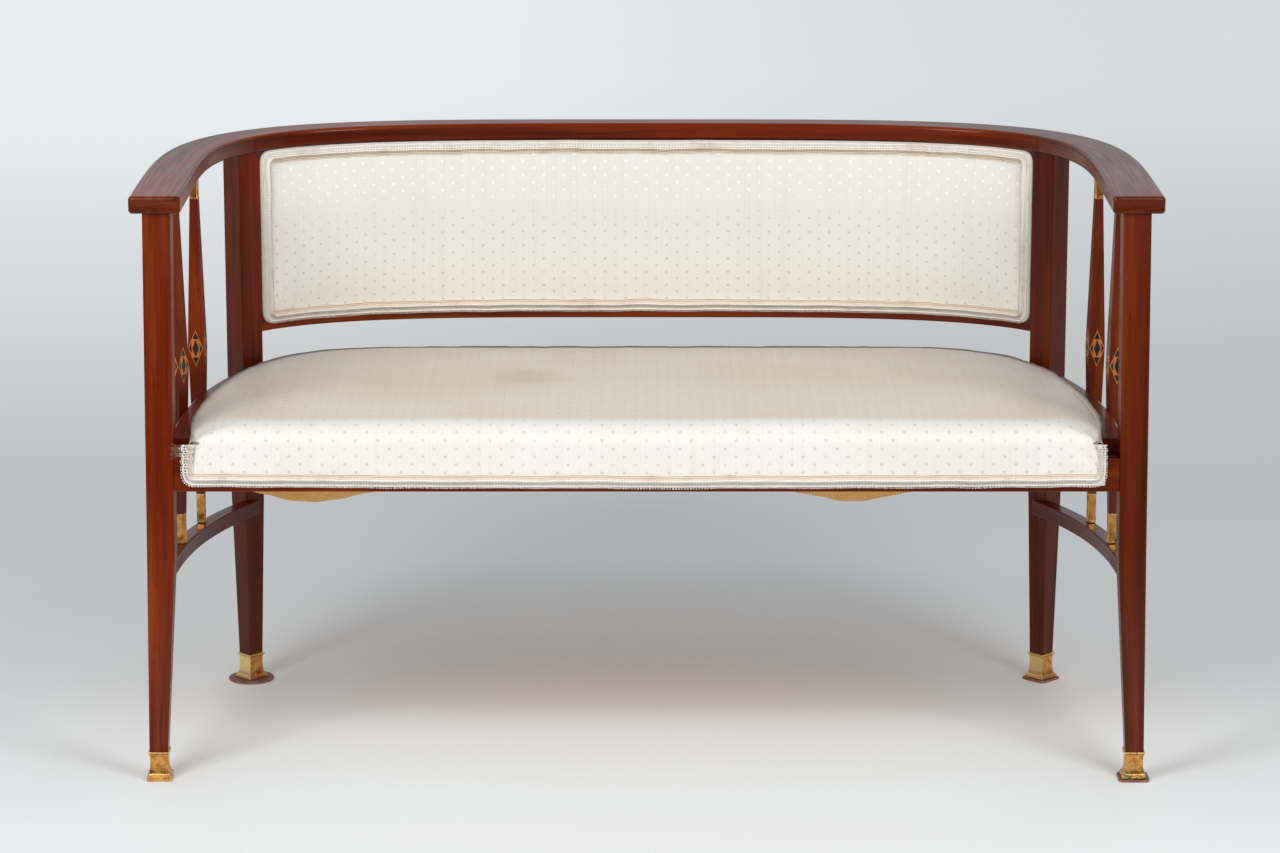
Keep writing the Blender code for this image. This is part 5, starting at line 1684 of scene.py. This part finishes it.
def make_back_braids(front_material, rear_material):
    """Braid round the front and the rear of the back panel."""
    jobs = (("braid_back_front", front_material, -1, PAD_FRONT - GAP, "back_gimp"),
            ("braid_back_rear", rear_material, 1, REAR_FACE + 1.2 * MM, "rear_gimp"))
    for seed, (name, material, way, face, node) in enumerate(jobs):
        parts = list(frame_parts(2 * PAD_HALF, BACK_PAD_BOTTOM + 0.2 * MM,
                                 BACK_PAD_TOP - 0.2 * MM, BACK_BRAID_TURN))
        length = sum(part[2] for part in parts)

        def place(run, across, lift):
            x, z = trace(parts, BACK_BRAID_TURN, np.mod(run, length), across)
            return bend_to_back(np.stack([-way * x, face + way * lift, z], axis=1))

        braid = lay_braid(name, material, length, place, seed + 3, True)
        settle(braid, "braid", node)


def wall_profile(run, across):
    """How far in and how high a braid lies that climbs the seat's side from its foot."""
    knots = np.linspace(0, 2 * CUSHION_LINE.half, 181)
    insets = np.linspace(0, 20 * MM, 41)
    reach = np.linspace(-2 * MM, 22 * MM, 49)
    table = np.empty((2, len(knots), len(reach)))
    for row, knot in enumerate(knots):
        points = CUSHION_LINE.at(np.full(len(insets), knot), -SEAT_GAP - insets)
        high = np.concatenate([[0], seat_height(points, insets) - CUSHION_BOTTOM])
        wide = np.concatenate([[0], insets])
        arc = np.concatenate([[0], np.cumsum(np.hypot(np.diff(wide), np.diff(high)))])
        table[0, row] = np.interp(reach, arc, wide)
        table[1, row] = np.interp(reach, arc, high)
    row = np.clip(run / (2 * CUSHION_LINE.half) * (len(knots) - 1), 0, len(knots) - 1.001)
    column = np.clip((across - reach[0]) / (reach[1] - reach[0]), 0, len(reach) - 1.001)
    i, j = row.astype(int), column.astype(int)
    s, t = row - i, column - j
    return ((1 - s) * (1 - t) * table[:, i, j] + s * (1 - t) * table[:, i + 1, j]
            + (1 - s) * t * table[:, i, j + 1] + s * t * table[:, i + 1, j + 1])


def make_seat_braids(material, side_material):
    """Braid along the skirt and up its two ends, and along the foot of the seat's sides."""
    left, right = -CUSHION_HALF_WIDTH - 6.5 * MM, CUSHION_HALF_WIDTH - 0.5 * MM
    top = CUSHION_BOTTOM + 1.2 * MM
    radius = 15 * MM
    corner = SKIRT_BOTTOM + radius
    turn, rise = math.pi / 2 * radius, top - corner
    parts = (((left, top), -0.5, rise, 0.86), ((left + radius, corner), 1, turn, 0),
             ((left + radius, SKIRT_BOTTOM), 0, right - left - 2 * radius, 1),
             ((right - radius, corner), 1.5, turn, 0), ((right, corner), 0.5, rise, 0.72))
    whole = sum(part[2] for part in parts)

    def place(run, across, lift):
        run = np.clip(run, 0, whole)
        x, z = trace(parts, radius, run, across)
        bunch = np.exp(-(run / 0.03) ** 2) + 0.6 * np.exp(-((run - whole) / 0.02) ** 2)
        fold = np.sin(run * 1150 + across * 260)
        x = x + bunch * 1.5 * MM * np.sin(run * 700 + 1)
        y = SEAT_FACE - 0.15 * MM - lift - bunch * 1.3 * MM * (1 + fold) / 2
        z = z + skirt_lift(x) * np.clip((CUSHION_BOTTOM - z) / (25 * MM), 0, 1)
        return np.stack([x, y, z], axis=1)

    braid = lay_braid("braid_seat_front", material, whole, place, 11)
    settle(braid, "braid", "seat_front_gimp")
    first = 0.5 * MM

    def lay(run, across, lift):
        along = run + first
        inset, height = wall_profile(along, across)
        points = CUSHION_LINE.at(along, 0.25 * MM - SEAT_GAP - inset + lift * 0.8)
        depth = np.clip((points[1] - LEG_FRONT) / CUSHION_DEPTH, 0, 1)
        tucked = np.clip(across - 5 * MM, 0, 1) * (0.62 + 0.3 * depth ** 2)
        z = CUSHION_BOTTOM + 0.3 * MM + np.maximum(height - tucked, 0) + lift * 0.45
        end = np.exp(-np.minimum(along, 2 * CUSHION_LINE.half - along) / (12 * MM))
        x = points[0] + corner_pinch(points[0], points[1], z)
        return np.stack([x, points[1] - 4.4 * MM * end, z], axis=1)

    side = lay_braid("braid_seat_side", side_material, 2 * (CUSHION_LINE.half - first), lay, 23)
    settle(side, "braid", "seat_side_gimp")


def make_frayed_threads(material):
    """Loose ends of thread where the braid stops at the left front corner."""
    chance = random.Random(41)
    verts, faces = [], []
    for number in range(34):
        start = Vector((-CUSHION_HALF_WIDTH - chance.uniform(3, 7) * MM,
                        SEAT_FACE - chance.uniform(0.3, 1.8) * MM,
                        CUSHION_BOTTOM - chance.uniform(1, 14) * MM))
        way = Vector((-1, chance.uniform(-0.1, 0.06), chance.uniform(-0.35, 0.35))).normalized()
        side = Vector((chance.uniform(-1, 1), chance.uniform(-0.3, 0.3), chance.uniform(-1, 1)))
        length = chance.uniform(6, 14) * MM
        rows = []
        for step in range(7):
            share = step / 6
            sag = side * (1.6 * MM * math.sin(share * 4 + number))
            place = start + way * (length * share) + sag
            place.y = max(place.y, SEAT_FACE - 3.2 * MM)
            width = 0.22 * MM * (1 - 0.5 * share)
            rows.append(list(range(len(verts), len(verts) + 4)))
            for corner in range(4):
                c, s = math.cos(math.pi / 2 * corner), math.sin(math.pi / 2 * corner)
                verts.append(place + Vector((0.3 * c, c, s)) * width)
        faces += tube_faces(rows)
    threads = make_piece("frayed_threads", verts, faces, material)
    face_outward(threads)
    point_map(threads, [(v[0], 3 * MM) for v in verts])
    return settle(threads, "braid")


def dress_hidden_nodes(beech, stained):
    """Finish the glue blocks and the board, which keep their solids."""
    jobs = [(name, beech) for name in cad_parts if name.endswith("corner_block")]
    jobs.append(("back_board", stained))
    for name, material in jobs:
        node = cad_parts[name]
        for slot in range(len(node.material_slots)):
            node.material_slots[slot].material = material


# Stage

def make_surround(settings):
    """Soft light from all round. Gloss sees a room that is dark in front, and the camera sees pale."""
    world = bpy.data.worlds.new("Studio surround")
    world.use_nodes = True
    nodes = ShaderNodes(world.node_tree)
    soft = nodes.tree.nodes["Background"]
    soft.inputs["Color"].default_value = (0.97, 0.985, 1.0, 1)
    soft.inputs["Strength"].default_value = settings.surround
    depth = nodes.node("SeparateXYZ", {0: nodes.node("TexCoord")}, 1)
    depth = nodes.node("MapRange", {"Value": depth, "From Min": -0.3, "From Max": 0.6},
                       interpolation_type="SMOOTHSTEP")
    blend = nodes.node("Mix", {0: depth, 6: (0.04, 0.04, 0.042, 1), 7: (0.62, 0.65, 0.68, 1)}, 2,
                       data_type="RGBA")
    room = nodes.node("Background", {"Color": blend})
    pale = nodes.node("Background", {"Color": PALE_BACKDROP})
    glossy = nodes.node("LightPath", output="Is Glossy Ray")
    seen = nodes.node("LightPath", output="Is Camera Ray")
    lit = nodes.node("MixShader", {0: glossy, 1: soft.outputs[0], 2: room})
    nodes.feed(nodes.tree.nodes["World Output"].inputs[0],
               nodes.node("MixShader", {0: seen, 1: lit, 2: pale}))
    return world


PAPER_REACH = 30
LIGHT_SIZE = 0.9
LIGHT_OUT, LIGHT_BEFORE, LIGHT_HEIGHT = 1.2, 1.75, 1.85
CAMERA_LENS = 125.16
CAMERA_PLACE = (-0.008, -5.45265, 1.6349)
CAMERA_TILT = math.radians(12.996)


def make_stage(settings):
    """Pale paper floor, soft lights and the camera."""
    corners = [(x * PAPER_REACH, y * PAPER_REACH, 0) for x, y in ((-1, -1), (1, -1), (1, 1), (-1, 1))]
    paper = make_piece("paper_floor", corners, [(0, 1, 2, 3)], stage_finish(settings),
                       smooth=False)
    paper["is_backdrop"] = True
    scene = bpy.context.scene
    scene.view_settings.view_transform = "Standard"
    scene.world = make_surround(settings)
    for word, side, power in (("Left", -1, settings.left_light), ("Right", 1, settings.right_light)):
        data = bpy.data.lights.new(word + " soft light", "AREA")
        data.shape = "RECTANGLE"
        data.size = data.size_y = LIGHT_SIZE
        data.energy = power
        data.color = (1.0, 1.0, 0.995)
        light = put(data.name, data)
        light.location = (LIGHT_OUT * side, -LIGHT_BEFORE, LIGHT_HEIGHT)
        aim = Vector((-0.15 * side, 0, 0.3)) - light.location
        light.rotation_euler = aim.to_track_quat("-Z", "Y").to_euler()
    data = bpy.data.cameras.new("Viewing camera")
    data.sensor_width = 36
    data.lens = CAMERA_LENS
    camera = put(data.name, data)
    camera.location = CAMERA_PLACE
    camera.rotation_euler = (math.pi / 2 - CAMERA_TILT, 0, 0)
    scene.camera = camera


# Settings, operators and the sidebar

class SetteeWood(bpy.types.PropertyGroup):
    """Colours of the polished wood."""

    wood_dark: bpy.props.FloatVectorProperty(
        name="Dark grain", description="Darkest tone of the mahogany", subtype="COLOR",
        min=0, max=1, default=colour(66, 15, 3)[:3])
    wood_middle: bpy.props.FloatVectorProperty(
        name="Middle grain", description="Usual tone of the mahogany", subtype="COLOR",
        min=0, max=1, default=colour(118, 35, 5)[:3])
    wood_light: bpy.props.FloatVectorProperty(
        name="Light ribbon", description="Brightest tone of the mahogany", subtype="COLOR",
        min=0, max=1, default=colour(156, 64, 13)[:3])


class SetteeCover(bpy.types.PropertyGroup):
    """Colours of the silk and the braid."""

    silk_clean: bpy.props.FloatVectorProperty(
        name="Clean silk", description="Silk where it is clean", subtype="COLOR",
        min=0, max=1, default=(0.83, 0.81, 0.75))
    silk_worn: bpy.props.FloatVectorProperty(
        name="Faded silk", description="Silk where it has yellowed", subtype="COLOR",
        min=0, max=1, default=(0.74, 0.70, 0.61))
    # Seat top colour: soiling together with painted shade of the top.
    silk_top_soil_and_shade: bpy.props.FloatVectorProperty(
        name="Soiled and shaded seat top", description="Silk where people sit", subtype="COLOR",
        min=0, max=1, default=(0.655, 0.565, 0.445))
    braid_lace: bpy.props.FloatVectorProperty(
        name="Braid lace", description="Pale outer half of the braid", subtype="COLOR",
        min=0, max=1, default=(1.0, 0.97, 0.91))
    braid_strip: bpy.props.FloatVectorProperty(
        name="Braid strip", description="Ribbed inner half of the braid", subtype="COLOR",
        min=0, max=1, default=(0.95, 0.85, 0.73))


class SetteeStage(bpy.types.PropertyGroup):
    """Lights and paper of the stage."""

    paper: bpy.props.FloatVectorProperty(
        name="Paper", description="Colour of the floor", subtype="COLOR",
        min=0, max=1, default=(0.845, 0.87, 0.885))
    # The backdrop colours are painted light: how bright the far paper glows, low behind the settee and
    # high at the top of the picture.
    painted_backdrop_low: bpy.props.FloatVectorProperty(
        name="Backdrop below", description="Painted glow of the paper behind the settee",
        subtype="COLOR", min=0, max=1, default=(0.56, 0.57, 0.575))
    painted_backdrop_high: bpy.props.FloatVectorProperty(
        name="Backdrop above", description="Painted glow of the paper at the top of the picture",
        subtype="COLOR", min=0, max=1, default=(0.735, 0.775, 0.80))
    surround: bpy.props.FloatProperty(
        name="Surround", description="Brightness of the light from all round",
        min=0, default=0.5)
    left_light: bpy.props.FloatProperty(
        name="Left light", description="Power of the soft light in front on the left",
        unit="POWER", min=0, default=26)
    right_light: bpy.props.FloatProperty(
        name="Right light", description="Power of the soft light in front on the right",
        unit="POWER", min=0, default=22)


MADE = {}


def finish_of(name, maker, *details):
    """A finish that several operators share, made once."""
    if name not in MADE:
        MADE[name] = maker(*details)
    return MADE[name]


class SETTEE_OT_wood(bpy.types.Operator):
    """Build the rails, legs, stretchers and posts"""

    bl_idname = "settee.wood"
    bl_label = "Polished wood"

    def execute(self, context):
        wood = finish_of("mahogany", mahogany_finish, context.scene.settee_wood)
        make_rails(wood)
        make_legs(wood)
        make_seat_rails(wood)
        make_posts(wood)
        return {"FINISHED"}


class SETTEE_OT_inlays(bpy.types.Operator):
    """Let the dark and light lozenges into the posts"""

    bl_idname = "settee.inlays"
    bl_label = "Post inlays"

    def execute(self, context):
        dark = inlay_finish("Ebonised veneer", colour(14, 12, 12), colour(30, 26, 24), 0.02 * MM)
        light = inlay_finish("Satinwood veneer", colour(168, 92, 30), colour(206, 126, 46), 0.02 * MM)
        make_inlays(dark, light)
        return {"FINISHED"}


class SETTEE_OT_brass(bpy.types.Operator):
    """Cast the shoes and the ferrules"""

    bl_idname = "settee.brass"
    bl_label = "Brass shoes and ferrules"

    def execute(self, context):
        plain = finish_of("brass", brass_finish, "Aged brass", False)
        green = finish_of("green brass", brass_finish, "Aged brass with verdigris", True)
        make_shoes(plain, green)
        make_ferrules(plain)
        return {"FINISHED"}


class SETTEE_OT_leather(bpy.types.Operator):
    """Cut the leather pads"""

    bl_idname = "settee.leather"
    bl_label = "Leather pads"

    def execute(self, context):
        make_pads(leather_finish())
        return {"FINISHED"}


class SETTEE_OT_seat(bpy.types.Operator):
    """Stuff the seat and stretch its silk"""

    bl_idname = "settee.seat"
    bl_label = "Silk seat"

    def execute(self, context):
        cover = context.scene.settee_cover
        make_seat(finish_of("seat silk", silk_finish, "Seat silk", cover, True, False,
                            8.5 * MM))
        return {"FINISHED"}


class SETTEE_OT_back(bpy.types.Operator):
    """Pad the back and cover its front and rear"""

    bl_idname = "settee.back"
    bl_label = "Silk back"

    def execute(self, context):
        silk = finish_of("back silk", silk_finish, "Back silk", context.scene.settee_cover,
                         False, True, 9.1 * MM)
        make_back_pad(silk)
        make_rear_cover(silk)
        return {"FINISHED"}


class SETTEE_OT_underside(bpy.types.Operator):
    """Build the webs, the stuffing and the dust cloth"""

    bl_idname = "settee.underside"
    bl_label = "Underside"

    def execute(self, context):
        make_webbing(jute_finish())
        make_stuffing(hessian_finish())
        make_dust_cloth(ochre_finish())
        stained = inlay_finish("Stained board", colour(58, 24, 12), colour(84, 38, 20), 0.05 * MM)
        dress_hidden_nodes(beech_finish(), stained)
        return {"FINISHED"}


class SETTEE_OT_braid(bpy.types.Operator):
    """Lay braid round the back and the seat"""

    bl_idname = "settee.braid"
    bl_label = "Braid"

    def execute(self, context):
        cover = context.scene.settee_cover
        clean = finish_of("braid", braid_finish, "Cotton braid", cover, 0.35, 0.35)
        skirt = finish_of("skirt braid", braid_finish, "Cotton braid of the skirt", cover, 0.3, 0.85)
        soiled = finish_of("old braid", braid_finish, "Soiled cotton braid", cover, 0.85, 0.6)
        shaded = finish_of("side braid", braid_finish, "Brown old braid", cover, 0.95, 0.7, 0.62)
        make_back_braids(clean, soiled)
        make_seat_braids(skirt, shaded)
        make_frayed_threads(inlay_finish("Frayed cotton", colour(112, 72, 58), colour(188, 148, 130),
                                         0.02 * MM))
        return {"FINISHED"}


class SETTEE_OT_stage(bpy.types.Operator):
    """Set up the floor, the lights and the camera"""

    bl_idname = "settee.stage"
    bl_label = "Stage"

    def execute(self, context):
        make_stage(context.scene.settee_stage)
        return {"FINISHED"}


OPERATORS = (SETTEE_OT_wood, SETTEE_OT_inlays, SETTEE_OT_brass, SETTEE_OT_leather,
             SETTEE_OT_seat, SETTEE_OT_back, SETTEE_OT_underside, SETTEE_OT_braid,
             SETTEE_OT_stage)


class SETTEE_PT_sidebar(bpy.types.Panel):
    """Shows the settings of the settee and a button for each building step"""

    bl_idname = "SETTEE_PT_sidebar"
    bl_label = "Settee"
    bl_space_type = "VIEW_3D"
    bl_region_type = "UI"
    bl_category = "Settee"

    def draw(self, context):
        for pointer in dict(GROUPS):
            group = getattr(context.scene, pointer)
            box = self.layout.box()
            for name in group.__annotations__:
                box.prop(group, name)
        for operator in OPERATORS:
            self.layout.operator(operator.bl_idname)


GROUPS = (("settee_wood", SetteeWood), ("settee_cover", SetteeCover),
          ("settee_stage", SetteeStage))


def register():
    """Register the settings, the operators and the sidebar."""
    for name, group in GROUPS:
        bpy.utils.register_class(group)
        setattr(bpy.types.Scene, name, bpy.props.PointerProperty(type=group))
    for operator in OPERATORS:
        bpy.utils.register_class(operator)
    bpy.utils.register_class(SETTEE_PT_sidebar)


def unregister():
    """Take out what register added."""
    bpy.utils.unregister_class(SETTEE_PT_sidebar)
    for operator in reversed(OPERATORS):
        bpy.utils.unregister_class(operator)
    for name, group in reversed(GROUPS):
        delattr(bpy.types.Scene, name)
        bpy.utils.unregister_class(group)


def main():
    """Build every piece, then work out how big the frame and the finished settee are."""
    register()
    for operator in OPERATORS:
        group, name = operator.bl_idname.split(".")
        getattr(getattr(bpy.ops, group), name)()
    boxes = {"cad": CAD_BOX, "visual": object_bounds()}
    plain = {name: [[float(v) for v in corner] for corner in box] for name, box in boxes.items()}


if __name__ == "__main__":
    main()
